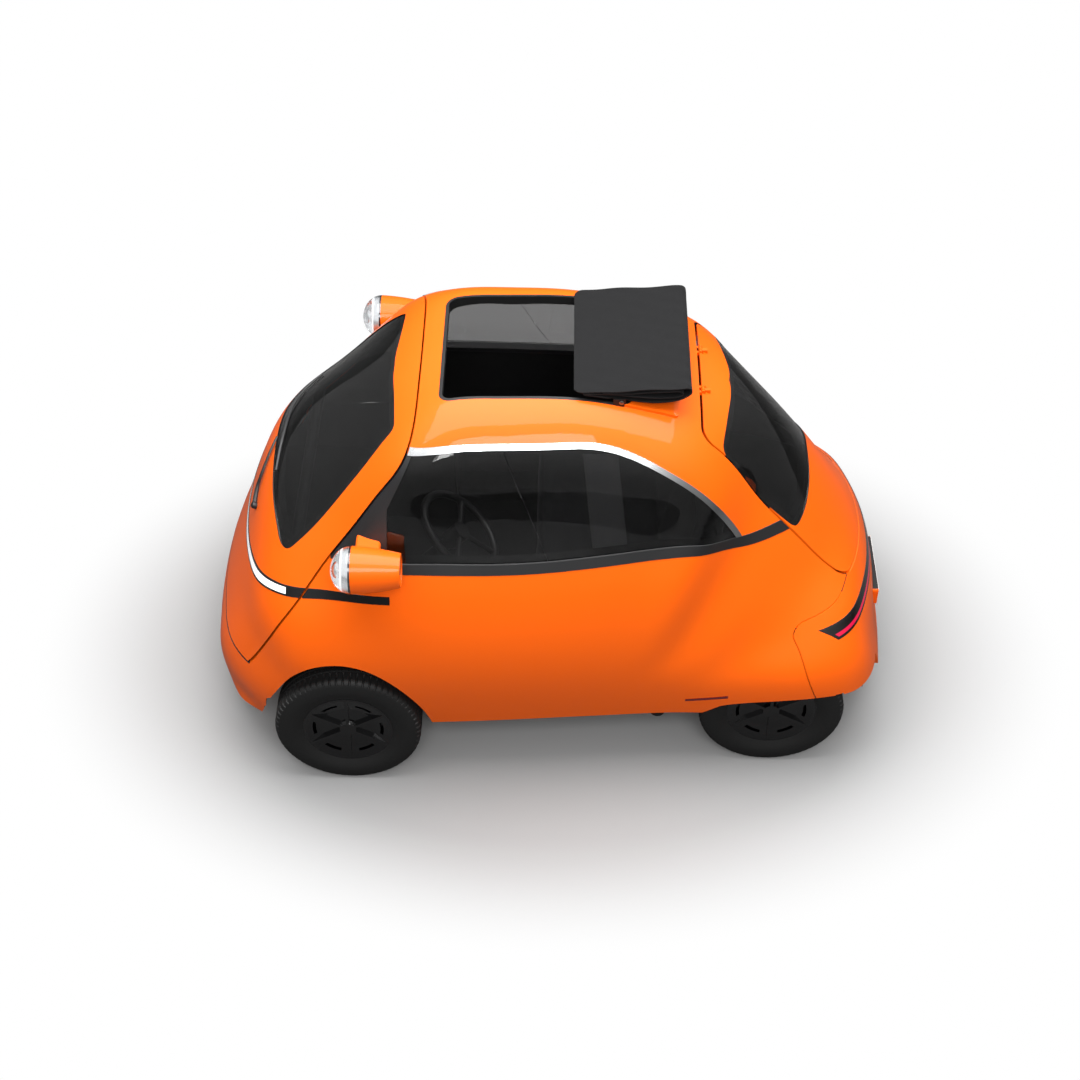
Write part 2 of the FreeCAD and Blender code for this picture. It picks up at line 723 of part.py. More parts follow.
def side_panels(shell):
    """Left and right side panels, from the nose seam to the tail."""
    seam_x = DOOR_CUT_SHARES[-1][0] * LENGTH
    panels = shell.common(box(seam_x, FAR, -WIDTH, WIDTH, NOSE_Z, TALL)).cut(under_body())
    groove = bumper_region(-SEAM_WIDTH).cut(SKIN.solid(SEAM_DEPTH))
    panels = panels.cut(strip_pocket()).cut(marker_region(FIT)).cut(groove).cut(rear_tyre_room())
    for room in front_tyre_rooms():
        panels = panels.cut(room).cut(mirrored(room))
    left = tidy(left_half(panels))
    return left, door_hinge().on_fixed(mirrored(left))


def tyre_room(low, high):
    """Space round turning tyres between two places along their axle, with round shoulders."""
    ease = TYRE_PLAY * 2
    flank = TYRE_RADIUS - ease
    crown = TYRE_RADIUS + ease
    return turned([(low, 0), (low, flank), (low + ease, crown), (high - ease, crown), (high, flank), (high, 0)])


def rear_tyre_room():
    """Space for both rear wheels inside the skirts."""
    reach = REAR_TRACK / 2 + TYRE_WIDTH / 2 + TYRE_PLAY
    room = tyre_room(-reach, reach)
    room.translate(V(rear_axle_x(), 0, TYRE_RADIUS))
    return room


def front_tyre_rooms():
    """Space that the left front wheel needs in its side panel, from straight ahead to full lock."""
    half = TYRE_WIDTH / 2 + TYRE_PLAY
    rooms = []
    for step in range(LOCK_STEPS):
        room = tyre_room(-half, half)
        room.translate(V(front_axle_x(), -FRONT_TRACK / 2, TYRE_RADIUS))
        room.rotate(V(front_axle_x(), -kingpin_y(), 0), V(0, 0, 1), -STEER_LOCK * (step + 1) / LOCK_STEPS)
        rooms.append(room)
    return rooms


def nose_panel(shell):
    """Lower front panel below the door, round to the wheel openings."""
    seam_x = DOOR_CUT_SHARES[-1][0] * LENGTH
    return tidy(shell.common(box(-FAR, seam_x, -WIDTH, WIDTH, NOSE_Z, DOOR_BOTTOM_SHARE * HEIGHT)))


def tail_panel():
    """Rear bumper panel with the slot for the tail light."""
    panel = SKIN.wall(0, WALL).common(bumper_region(0)).common(box(0, FAR, -WIDTH, WIDTH, TAIL_Z, TALL))
    panel = panel.cut(hatch_region(0)).cut(under_body()).cut(rear_tyre_room())
    panel = tidy(panel.cut(tail_light_region(FIT).cut(SKIN.solid(STRIP_DEPTH + FIT))))
    pad = rounded("front", -PLATE_PAD_HALF, PLATE_Z - PLATE_PAD_HEIGHT / 2, PLATE_PAD_HALF,
                  PLATE_Z + PLATE_PAD_HEIGHT / 2, PLATE_BOLT_R * 4, PLATE_X - WALL + OVERRUN / 4, PLATE_X)
    boss = Part.makeCylinder(EYE_BOSS_R, WALL, V(EYE_X - WALL, EYE_Y, EYE_Z), V(1, 0, 0))
    panel = merged(panel, pad, boss)
    for y in (-PLATE_BOLT_SPACING / 2, PLATE_BOLT_SPACING / 2):
        panel = panel.cut(Part.makeCylinder(PLATE_BOLT_R, PLATE_BOLT_DEPTH + OVERRUN,
                                            V(PLATE_X - PLATE_BOLT_DEPTH, y, PLATE_Z), V(1, 0, 0)))
    return panel.cut(Part.makeCylinder(EYE_HOLE_R, EYE_HOLE_DEPTH + OVERRUN,
                                       V(EYE_X - EYE_HOLE_DEPTH, EYE_Y, EYE_Z), V(1, 0, 0)))


def roof_panel():
    """Roof with its rear pillars and the plinth of the folded top, open for the top and the windows."""
    shell = SKIN.wall(0, WALL).cut(below(lifted(side(BELT_LOW_SHARES), BELT_BAND)))
    shell = shell.cut(door_region(0)).cut(hatch_region(0)).cut(window_region())
    plinth = rounded("top", OPENING_REAR_X - OVERRUN, -PLINTH_HALF, PLINTH_REAR_X, PLINTH_HALF, PLINTH_RISE, 0, TALL)
    plinth = plinth.common(SKIN.solid(-PLINTH_RISE)).cut(SKIN.solid(WALL / 2))
    opening = rounded("top", OPENING_FRONT_X, -OPENING_HALF, OPENING_REAR_X, OPENING_HALF,
                      OPENING_CORNER, 0, TALL)
    roof = tidy(merged(tidy(shell), plinth).cut(opening))
    for hinge in hatch_hinges():
        roof = hinge.on_fixed(roof)
    return roof


def belt_rail():
    """Dark rail round the car below the windows, proud of the paint."""
    band = SKIN.wall(-TRIM_PROUD, WALL)
    band = band.common(below(lifted(side(BELT_LOW_SHARES), BELT_BAND)))
    band = band.cut(below(side(BELT_LOW_SHARES)))
    band = band.cut(door_region(0)).cut(hatch_region(0))
    return tidy(left_half(band))


def pillar_cover():
    """Dark corner cover between the door's edge and the side window."""
    cover = SKIN.wall(0, WALL).common(window_region()).common(pillar_region(0))
    cover = cover.cut(door_region(0)).cut(below(lifted(side(BELT_LOW_SHARES), BELT_BAND)))
    return tidy(left_half(cover))


def side_glass():
    """Front and rear pane of the left side window."""
    pane = SKIN.wall(GLASS_DEPTH, GLASS_DEPTH + GLASS_THICK)
    top = lifted(window_top(), -FIT)
    low = top[-1][1] - OVERRUN
    pane = pane.common(prism("side", [top, [(top[-1][0] - FIT, low)], [(top[0][0], low)]], -WIDTH, 0))
    pane = pane.cut(below(lifted(side(BELT_LOW_SHARES), BELT_BAND + FIT)))
    pane = pane.cut(pillar_region(-FIT))
    slant = side(DIVIDER_SHARES)
    saw = prism("side", [[slant[0]], [slant[1]], [(slant[1][0] + GLASS_THICK / 2, slant[1][1])],
                         [(slant[0][0] + GLASS_THICK / 2, slant[0][1])]], -WIDTH, 0)
    return tidy(pane.cut(saw))


def ring_half(points, view, low, high):
    """Prism over a shape that is given by its right half and mirrored."""
    other = [(-u, v) for u, v in reversed(points)]
    return prism(view, [points + other[1:-1] + [points[0]]], low, high)


def inset_outline(points, gap):
    """A closed half outline drawn closer in by a gap, its ends kept on the centre line."""
    moved = shifted(points, -gap)
    first = (0.0, points[0][1] - gap)
    last = (0.0, points[-1][1] + gap)
    return [first] + moved[1:-1] + [last]


def screen_region(gap):
    return ring_half(inset_outline(end_on(SCREEN_SHARES), gap), "screen", WIDTH / 2, FAR)


def rear_glass_region(gap):
    return ring_half(inset_outline(end_on(REAR_GLASS_SHARES), gap), "tail", WIDTH / 2, FAR)


def door_panel():
    """Front door: one piece from the roof's edge to the bumper line, with its window cut."""
    panel = SKIN.wall(0, WALL).common(door_region(SHUT_GAP))
    rebate = screen_region(-FIT).cut(SKIN.solid(GLASS_DEPTH + GLASS_THICK + FIT))
    panel = panel.cut(rebate).cut(screen_region(REBATE))
    return door_hinge().on_moving(tidy(panel.cut(strip_pocket())))


def door_bar():
    """Padded bar across the inside of the door."""
    bar = rod(V(BAR_X, -WIDTH, BAR_Z), V(BAR_X, WIDTH, BAR_Z), BAR_RADIUS)
    return tidy(bar.common(SKIN.solid(WALL + FIT)))


def windscreen():
    return tidy(SKIN.wall(GLASS_DEPTH, GLASS_DEPTH + GLASS_THICK).common(screen_region(0)))


def strip_pocket():
    """Groove for the light strip round the nose."""
    band = strip_region(side(SIDE_STRIP_SHARES), STRIP_HEIGHT, FIT)
    band = band.common(box(-FAR, STRIP_END_SHARE * LENGTH + FIT, -WIDTH, WIDTH, 0, TALL))
    return band.cut(SKIN.solid(STRIP_DEPTH + FIT))


def light_strip():
    """Light strip on the door between its dark borders, and its dark ends on the sides."""
    line = side(SIDE_STRIP_SHARES)
    band = SKIN.wall(-STRIP_PROUD, STRIP_DEPTH).common(strip_region(line, STRIP_HEIGHT, 0))
    band = band.common(box(-FAR, STRIP_END_SHARE * LENGTH, -WIDTH, WIDTH, 0, TALL))
    core = STRIP_HEIGHT - STRIP_BORDER * 2
    front = band.common(door_region(SHUT_GAP))
    bar = front.common(strip_region(line, core, 0))
    borders = front.cut(strip_region(line, core, FIT))
    return tidy(Part.makeCompound(bar.Solids + borders.Solids)), tidy(band.cut(door_region(0)))


def tail_light_region(grow):
    half = TAIL_LIGHT_HEIGHT / 2 + grow
    return box(LENGTH / 4, FAR, -TAIL_LIGHT_HALF - grow, TAIL_LIGHT_HALF + grow,
               TAIL_LIGHT_Z - half, TAIL_LIGHT_Z + half)


def tail_light():
    """Red light bar and the dark frame round it."""
    band = SKIN.wall(-STRIP_PROUD, STRIP_DEPTH).common(tail_light_region(0)).common(bumper_region(WALL / 2))
    bar = tidy(band.common(tail_light_region(-LIGHT_BORDER)))
    frame = tidy(band.cut(tail_light_region(-LIGHT_BORDER + FIT)))
    return bar, frame


def marker_region(grow):
    """Slot for the reflector low on each side."""
    return strip_region(side(MARKER_SHARES), SIDE_MARKER_HEIGHT, grow).cut(SKIN.solid(STRIP_DEPTH + grow))


def markers():
    return tidy(SKIN.wall(-STRIP_PROUD, STRIP_DEPTH).common(marker_region(0)))


def chrome_strips():
    """Bright strip over each side window."""
    band = prism("side", [side(CHROME_SHARES), list(reversed(window_top()))], -WIDTH, WIDTH)
    strip = SKIN.wall(-TRIM_PROUD, 0).common(band)
    strip = strip.cut(below(lifted(side(BELT_LOW_SHARES), BELT_BAND + FIT)))
    return tidy(strip.cut(door_region(0)))


def tailgate():
    """Painted tailgate frame and lower skin round the rear window."""
    panel = SKIN.wall(0, WALL).common(hatch_region(SHUT_GAP))
    rebate = rear_glass_region(-FIT).cut(SKIN.solid(GLASS_DEPTH + GLASS_THICK + FIT))
    panel = tidy(panel.cut(rebate).cut(rear_glass_region(REBATE)))
    for hinge in hatch_hinges():
        panel = hinge.on_moving(panel)
    return panel


def rear_glass():
    pane = SKIN.wall(GLASS_DEPTH, GLASS_DEPTH + GLASS_THICK).common(rear_glass_region(0))
    return tidy(pane.common(hatch_region(SHUT_GAP)))


def stack_pocket(grow):
    """Room for the left bracket at the side of the folded top."""
    return box(BRACKET_X - grow, BRACKET_X + BRACKET_LENGTH + grow, -STACK_HALF - BRACKET_THICK,
               -STACK_HALF + BRACKET_THICK + grow, OPENING_CORNER, BRACKET_TOP + grow)


def folded_cloth():
    """Cloth top folded in a stack behind the roof opening, with a loop at its rear."""
    top = side(STACK_TOP_SHARES)
    stack = prism("side", [top, side(STACK_LOOP_SHARES), side(STACK_UNDER_SHARES)], -STACK_HALF, STACK_HALF)
    plan = rounded("top", top[0][0] - FIT, -STACK_HALF, FAR, STACK_HALF, STACK_CORNER, 0, TALL)
    stack = stack.common(plan).cut(SKIN.solid(-PLINTH_RISE - FIT))
    pocket = stack_pocket(FIT)
    return tidy(stack.cut(pocket).cut(mirrored(pocket)))


def roof_seal():
    """Dark frame round the roof opening, with the brackets that hold the folded top."""
    ring = SKIN.wall(0, WALL)
    outer = rounded("top", OPENING_FRONT_X + FIT, -OPENING_HALF + FIT, OPENING_REAR_X - FIT, OPENING_HALF - FIT,
                    OPENING_CORNER, 0, TALL)
    inner = rounded("top", OPENING_FRONT_X + SEAL_WIDTH, -OPENING_HALF + SEAL_WIDTH,
                    OPENING_REAR_X - SEAL_WIDTH, OPENING_HALF - SEAL_WIDTH,
                    OPENING_CORNER - SEAL_WIDTH, 0, TALL)
    bracket = stack_pocket(0).cut(box(-FAR, FAR, -WIDTH, WIDTH, 0, HEIGHT - WALL * 3 / 2)).common(outer)
    return merged(tidy(ring.common(outer).cut(inner)), bracket, mirrored(bracket))


def pod_section(grow):
    """Half profile of the lamp housing, turned about its long axis."""
    radius = POD_RADIUS - grow
    rear = POD_RADIUS * POD_REAR_SHARE - grow
    curve = Part.BSplineCurve()
    curve.interpolate([V(0, radius, 0), V(POD_LENGTH / 2, (radius * 2 + rear) / 3 + grow / 4, 0),
                       V(POD_LENGTH, rear, 0)])
    wire = Part.Wire([curve.toShape(), Part.makeLine(V(POD_LENGTH, rear, 0), V(POD_LENGTH, 0, 0)),
                      Part.makeLine(V(POD_LENGTH, 0, 0), V(0, 0, 0)),
                      Part.makeLine(V(0, 0, 0), V(0, radius, 0))])
    return Part.Face(wire).revolve(V(0, 0, 0), V(1, 0, 0), 360)


def lamp_pod():
    """Left pod: housing with its arm, the lamp glass and the mirror at its back."""
    housing = pod_section(0).cut(pod_section(POD_WALL).translate(V(POD_WALL, 0, 0)))
    place = V(POD_X, -POD_Y, POD_Z)
    housing.translate(place)
    dome = Part.makeSphere(POD_RADIUS - FIT)
    squeeze = FreeCAD.Matrix()
    squeeze.scale(V(LENS_LENGTH / POD_RADIUS, 1, 1))
    dome = dome.transformGeometry(squeeze)
    dome.translate(place)
    lens = dome.common(box(-FAR, POD_X - FIT, -FAR, 0, 0, TALL))
    rear = POD_RADIUS * POD_REAR_SHARE - POD_WALL - FIT
    mirror = Part.makeCylinder(rear, MIRROR_THICK, V(POD_X + POD_LENGTH - MIRROR_INSET, -POD_Y, POD_Z), V(1, 0, 0))
    arm = rounded("side", POD_X + POD_WALL, POD_Z - ARM_HEIGHT, POD_X + ARM_LENGTH, POD_Z + ARM_HEIGHT / 2,
                  ARM_HEIGHT / 4, -POD_Y, 0)
    arm = arm.cut(SKIN.solid(-TRIM_PROUD - FIT)).cut(pod_section(POD_WALL).translate(place))
    arm = tidy(arm)
    near = [s for s in arm.Solids if s.BoundBox.YMin < -WIDTH / 3]
    return merged(housing, near[0]), lens, mirror


def tyre(x, y):
    """Tyre with round shoulders, turned about its axle."""
    half = TYRE_WIDTH / 2
    wall = TYRE_RADIUS - RIM_RADIUS
    sidewall = [(half * u, RIM_RADIUS + wall * v) for u, v in SIDEWALL_SHARES]
    bead = sidewall[0][0]
    crown = sidewall[-1][0]
    edges = []
    for sign in (1, -1):
        curve = Part.BSplineCurve()
        curve.interpolate([V(0, sign * u, r) for u, r in sidewall])
        edges.append(curve.toShape())
    tread = Part.makeLine(V(0, crown, TYRE_RADIUS), V(0, -crown, TYRE_RADIUS))
    seat = Part.makeLine(V(0, -bead, RIM_RADIUS), V(0, bead, RIM_RADIUS))
    face = Part.Face(Part.Wire([edges[0], tread, edges[1], seat]))
    ring = face.revolve(V(0, 0, 0), V(0, 1, 0), 360)
    ring.translate(V(x, y, TYRE_RADIUS))
    return ring


def turned(points):
    """Ring turned about the Y axis from a closed outline of axial place and radius."""
    outline = Part.makePolygon([V(0, u, r) for u, r in points + points[:1]])
    return Part.Face(outline).revolve(V(0, 0, 0), V(0, 1, 0), 360)


def rim(x, y, outward):
    """Steel wheel with its ribbed cover, hub and stub bore, drawn for the left side."""
    half = RIM_WIDTH / 2
    seat = RIM_RADIUS - FIT
    barrel = turned([(-half, seat), (half, seat), (half, seat - RIM_WALL), (-half, seat - RIM_WALL)])
    web_y = -half + CAP_DEPTH + CAP_WALL
    web = turned([(web_y, seat - RIM_WALL / 2), (web_y + RIM_WALL, seat - RIM_WALL / 2),
                  (web_y + RIM_WALL, HUB_RADIUS / 2), (web_y, HUB_RADIUS / 2)])
    hub = turned([(web_y, HUB_RADIUS), (web_y + HUB_LENGTH, HUB_RADIUS),
                  (web_y + HUB_LENGTH, STUB_RADIUS + STUB_CLEARANCE), (web_y, STUB_RADIUS + STUB_CLEARANCE)])
    rim_edge = seat - RIM_WALL / 2
    cap = turned([(-half, rim_edge), (-half, rim_edge - CAP_WALL * 2), (-half + CAP_DEPTH / 2, rim_edge * CAP_DISH_SHARE),
                  (-half + CAP_DEPTH / 2, CAP_CENTRE_R), (-half, CAP_CENTRE_R - CAP_WALL), (-half, 0),
                  (-half + CAP_WALL, 0), (-half + CAP_WALL, CAP_CENTRE_R - CAP_WALL * 2),
                  (-half + CAP_DEPTH / 2 + CAP_WALL, CAP_CENTRE_R - CAP_WALL),
                  (-half + CAP_DEPTH / 2 + CAP_WALL, rim_edge * CAP_DISH_SHARE), (-half + CAP_WALL, rim_edge)])
    slots = turned([(-half - CAP_WALL, CAP_SLOT_R), (web_y - CAP_WALL, CAP_SLOT_R),
                    (web_y - CAP_WALL, CAP_SLOT_R + CAP_SLOT_WIDTH), (-half - CAP_WALL, CAP_SLOT_R + CAP_SLOT_WIDTH)])
    for k in range(CAP_RIBS):
        bridge = box(-CAP_RIB_WIDTH * 3, CAP_RIB_WIDTH * 3, -half - OVERRUN, half, 0, RIM_RADIUS)
        bridge.rotate(V(0, 0, 0), V(0, 1, 0), 360 * k / CAP_RIBS)
        slots = slots.cut(bridge)
    cap = cap.cut(slots)
    ribs = []
    for k in range(CAP_RIBS):
        rib = box(-CAP_RIB_WIDTH / 2, CAP_RIB_WIDTH / 2, -half, -half + CAP_DEPTH / 2 + CAP_WALL / 2,
                  CAP_CENTRE_R - CAP_WALL, rim_edge - CAP_WALL)
        rib.rotate(V(0, 0, 0), V(0, 1, 0), 360 * k / CAP_RIBS)
        ribs.append(rib)
    post = turned([(-half + CAP_WALL / 2, HUB_RADIUS * 3 / 4), (web_y + RIM_WALL / 2, HUB_RADIUS * 3 / 4),
                   (web_y + RIM_WALL / 2, HUB_RADIUS / 2), (-half + CAP_WALL / 2, HUB_RADIUS / 2)])
    disc_y = web_y + HUB_LENGTH - DISC_THICK
    disc = turned([(disc_y, DISC_RADIUS), (disc_y + DISC_THICK, DISC_RADIUS),
                   (disc_y + DISC_THICK, HUB_RADIUS - RIM_WALL), (disc_y, HUB_RADIUS - RIM_WALL)])
    wheel = merged(barrel, web, hub, cap, post, disc, *ribs)
    if outward > 0:
        wheel = mirrored(wheel)
    wheel.translate(V(x, y, TYRE_RADIUS))
    return wheel


def stub_length():
    return HUB_LENGTH + KNUCKLE_RADIUS


def kingpin_y():
    return FRONT_TRACK / 2 - TYRE_WIDTH / 2 - KNUCKLE_RADIUS


def knuckle(outward):
    """Front knuckle: upright with the stub that the wheel turns on, and the strut's foot."""
    x = front_axle_x()
    y = FRONT_TRACK / 2
    inner = kingpin_y()
    web_y = y + RIM_WIDTH / 2 - CAP_DEPTH - CAP_WALL
    upright = Part.makeCylinder(KNUCKLE_RADIUS, KNUCKLE_HEIGHT, V(x, inner, TYRE_RADIUS - KNUCKLE_HEIGHT / 2))
    stub = rod(V(x, inner, TYRE_RADIUS), V(x, web_y - RIM_WALL, TYRE_RADIUS), STUB_RADIUS)
    strut_top = TYRE_RADIUS + HOUSING_RISE - HOUSING_WALL - FIT
    strut = rod(V(x, inner, TYRE_RADIUS), V(x, inner, strut_top), STRUT_RADIUS)
    body = merged(upright, stub, strut)
    return body if outward > 0 else mirrored(body)


def front_arms():
    """Lower arms and cross member that carry the front knuckles."""
    x = front_axle_x()
    inner = kingpin_y()
    z = TYRE_RADIUS - KNUCKLE_HEIGHT / 2 - ARM_RADIUS - FIT
    mid = FRONT_HOUSING_INNER_Y * 3 / 4
    pieces = [box(x - OVERRUN * 2, x + OVERRUN * 2, -mid, mid, z - ARM_RADIUS, SILL_Z - FLOOR_THICK)]
    for sign in (-1, 1):
        for dx in (-OVERRUN, OVERRUN):
            pieces.append(rod(V(x + dx, sign * (mid - ARM_RADIUS), z), V(x, sign * inner, z), ARM_RADIUS))
        pieces.append(Part.makeCylinder(KNUCKLE_RADIUS - FIT, ARM_RADIUS * 2, V(x, sign * inner, z - ARM_RADIUS)))
    return merged(*pieces)


def rear_axle():
    """Rear cross tube, trailing arms and the stubs that carry the rear wheels."""
    x = rear_axle_x()
    web_y = REAR_TRACK / 2 + RIM_WIDTH / 2 - CAP_DEPTH - CAP_WALL
    stub_end = web_y - RIM_WALL
    seat_y = web_y - HUB_LENGTH - RIM_WALL * 2
    tube = rod(V(x, -seat_y, TYRE_RADIUS), V(x, seat_y, TYRE_RADIUS), KNUCKLE_RADIUS)
    stubs = rod(V(x, -stub_end, TYRE_RADIUS), V(x, stub_end, TYRE_RADIUS), STUB_RADIUS)
    pieces = [tube, stubs]
    front_x = BAY_X + FIT
    z = SILL_Z - FLOOR_THICK / 2
    for sign in (-1, 1):
        y = sign * (BAY_HALF - OVERRUN)
        pieces.append(rod(V(x, y, TYRE_RADIUS), V(front_x + ARM_RADIUS * 2, y, z), ARM_RADIUS))
        pieces.append(box(front_x, front_x + ARM_RADIUS * 3, y - ARM_RADIUS * 2, y + ARM_RADIUS * 2,
                          z - ARM_RADIUS, z + ARM_RADIUS))
    return merged(*pieces)


def wheel_housing(x, inner_y, outer_y, top):
    """Left wheel housing: an arch of thin plate, closed on its inner side, open below and outside."""
    radius = HOUSING_REACH
    outer = box(x - radius, x + radius, -outer_y, -inner_y, SILL_Z, top)
    inner = box(x - radius + HOUSING_WALL, x + radius - HOUSING_WALL, -outer_y - OVERRUN, -inner_y - HOUSING_WALL,
                SILL_Z - OVERRUN, top - HOUSING_WALL)
    outer = outer.makeFillet(OVERRUN, [e for e in outer.Edges if abs(e.BoundBox.YLength - outer_y + inner_y) < FIT
                                       and e.BoundBox.ZMin > SILL_Z + FIT])
    inner = inner.makeFillet(OVERRUN - HOUSING_WALL,
                             [e for e in inner.Edges if e.BoundBox.YLength > OVERRUN * 2
                              and e.BoundBox.ZMin > SILL_Z + FIT])
    return outer.cut(inner)


def housings():
    front = wheel_housing(front_axle_x(), FRONT_HOUSING_INNER_Y, WIDTH / 2, TYRE_RADIUS + HOUSING_RISE)
    rear = wheel_housing(rear_axle_x(), REAR_HOUSING_INNER_Y, WIDTH / 2, REAR_HOUSING_TOP)
    room = SKIN.solid(WALL + STRIP_DEPTH)
    axle_gap = rod(V(rear_axle_x(), -WIDTH, TYRE_RADIUS), V(rear_axle_x(), 0, TYRE_RADIUS), KNUCKLE_RADIUS + FIT)
    return tidy(front.common(room).fuse(rear.common(room)).cut(axle_gap))


def floor_pan():
    """Floor plate with a rail inside each sill and pads for a jack, cut out for the wheels and the motor."""
    plate = SKIN.solid(WALL + STRIP_DEPTH).common(box(-FAR, FAR, -WIDTH, WIDTH, SILL_Z - FLOOR_THICK, SILL_Z))
    rail = SKIN.solid(WALL + FIT).common(box(front_axle_x() + HOUSING_REACH + FIT, rear_axle_x() - HOUSING_REACH - FIT,
                                             -WIDTH, WIDTH, SILL_Z - FLOOR_THICK, SILL_Z + RAIL_RISE))
    rail = rail.cut(box(-FAR, FAR, -RAIL_INNER_Y, RAIL_INNER_Y, 0, TALL))
    plate = merged(plate, *rail.Solids)
    for x, inner_y in ((front_axle_x(), FRONT_HOUSING_INNER_Y), (rear_axle_x(), REAR_HOUSING_INNER_Y)):
        for sign in (-1, 1):
            low = min(sign * (inner_y + HOUSING_WALL), sign * WIDTH)
            high = max(sign * (inner_y + HOUSING_WALL), sign * WIDTH)
            plate = plate.cut(box(x - HOUSING_REACH + HOUSING_WALL, x + HOUSING_REACH - HOUSING_WALL, low, high,
                                  0, SILL_Z + OVERRUN))
    axle_front = rear_axle_x() - KNUCKLE_RADIUS - FIT
    plate = plate.cut(box(axle_front, FAR, -WIDTH, WIDTH, 0, TALL))
    plate = tidy(plate.cut(box(BAY_X, FAR, -BAY_HALF, BAY_HALF, 0, SILL_Z + OVERRUN)))
    pads = []
    for x in (-PAD_X, PAD_REAR_X):
        for y in (-PAD_Y, PAD_Y):
            pads.append(Part.makeCylinder(PAD_RADIUS, PAD_THICK * 2, V(x, y, SILL_Z - FLOOR_THICK - PAD_THICK)))
    return merged(plate, *pads)


def seat_cushion():
    pad = rounded("side", SEAT_FRONT_X, SEAT_Z, SEAT_REAR_X, SEAT_Z + SEAT_THICK, OVERRUN, -SEAT_HALF, SEAT_HALF)
    return pad


def seat_back():
    """Seat back pad, leaning rearward."""
    low = SEAT_Z + SEAT_THICK + FIT
    outline = [[(BACK_BOTTOM_X, low)], [(BACK_BOTTOM_X + BACK_THICK, low)],
               [(BACK_BOTTOM_X + BACK_RAKE + BACK_THICK, BACK_TOP_Z)], [(BACK_BOTTOM_X + BACK_RAKE, BACK_TOP_Z)]]
    pad = prism("side", outline, -SEAT_HALF, SEAT_HALF)
    return tidy(pad.common(SKIN.solid(WALL + SEAT_PLAY)))


def headrests():
    x = BACK_BOTTOM_X + BACK_RAKE + BACK_THICK / 2
    pads = []
    for sign in (-1, 1):
        y = sign * HEADREST_Y
        pad = rounded("front", y - HEADREST_WIDTH / 2, BACK_TOP_Z + FIT, y + HEADREST_WIDTH / 2,
                      BACK_TOP_Z + HEADREST_HEIGHT, OVERRUN / 2, x - HEADREST_THICK / 2, x + HEADREST_THICK / 2)
        pads.append(pad.common(SKIN.solid(WALL + SEAT_PLAY)))
    return tidy(Part.makeCompound(pads))


def seat_frame():
    """Box plinth under the seat that also holds the battery."""
    outer = box(SEAT_FRONT_X + OVERRUN, SEAT_REAR_X, -SEAT_HALF + OVERRUN, SEAT_HALF - OVERRUN,
                SILL_Z, SEAT_Z - FIT)
    inner = box(SEAT_FRONT_X + OVERRUN + SEAT_FRAME_WALL, SEAT_REAR_X - SEAT_FRAME_WALL,
                -SEAT_HALF + OVERRUN + SEAT_FRAME_WALL, SEAT_HALF - OVERRUN - SEAT_FRAME_WALL,
                0, SEAT_Z - FIT - SEAT_FRAME_WALL)
    return outer.cut(inner)


def battery():
    mid = (SEAT_FRONT_X + OVERRUN + SEAT_REAR_X) / 2
    length = min(BATTERY_LENGTH, SEAT_REAR_X - SEAT_FRONT_X - OVERRUN * 2)
    return box(mid - length / 2, mid + length / 2, -BATTERY_WIDTH / 2, BATTERY_WIDTH / 2,
               SILL_Z, SILL_Z + BATTERY_HEIGHT)


def motor():
    """Drive motor across the car above the rear axle tube."""
    z = TYRE_RADIUS + KNUCKLE_RADIUS + MOTOR_RADIUS + FIT
    return rod(V(rear_axle_x(), -MOTOR_LENGTH / 2, z), V(rear_axle_x(), MOTOR_LENGTH / 2, z), MOTOR_RADIUS)


def steering_axis():
    foot = V(COLUMN_FOOT_X, WHEEL_CENTRE_Y, COLUMN_FOOT_Z)
    top = V(WHEEL_CENTRE_X, WHEEL_CENTRE_Y, WHEEL_CENTRE_Z)
    return foot, top, (top - foot).normalize()


def steering_column():
    """Column from the floor to just short of the steering wheel."""
    foot, top, run = steering_axis()
    end = top - run * OVERRUN
    post = rod(V(foot.x, foot.y, SILL_Z), foot, COLUMN_RADIUS)
    knee = Part.makeSphere(COLUMN_RADIUS, foot)
    return merged(post, knee, rod(foot, end, COLUMN_RADIUS))


def steering_wheel():
    """Steering wheel: round rim, two spokes and a hub on the column's end."""
    foot, top, run = steering_axis()
    ring = Part.makeTorus(WHEEL_RADIUS, WHEEL_RIM_R, top, run)
    hub = rod(top - run * (OVERRUN - FIT), top + run * WHEEL_RIM_R, COLUMN_RADIUS * HUB_SHARE)
    spoke = rod(top - V(0, WHEEL_RADIUS, 0), top + V(0, WHEEL_RADIUS, 0), WHEEL_RIM_R * SPOKE_SHARE)
    down = run.cross(V(0, 1, 0))
    if down.z > 0:
        down = down * -1
    third = rod(top, top + down * WHEEL_RADIUS, WHEEL_RIM_R * SPOKE_SHARE)
    return merged(ring, hub, spoke, third)


def parcel_shelf():
    """Luggage floor over the motor, between the rear wheel housings."""
    plate = SKIN.solid(WALL + STRIP_DEPTH).common(
        box(SEAT_REAR_X + OVERRUN * 2, FAR, -WIDTH, WIDTH, REAR_HOUSING_TOP + FIT,
            REAR_HOUSING_TOP + FIT + HOUSING_WALL * 2))
    return tidy(plate)


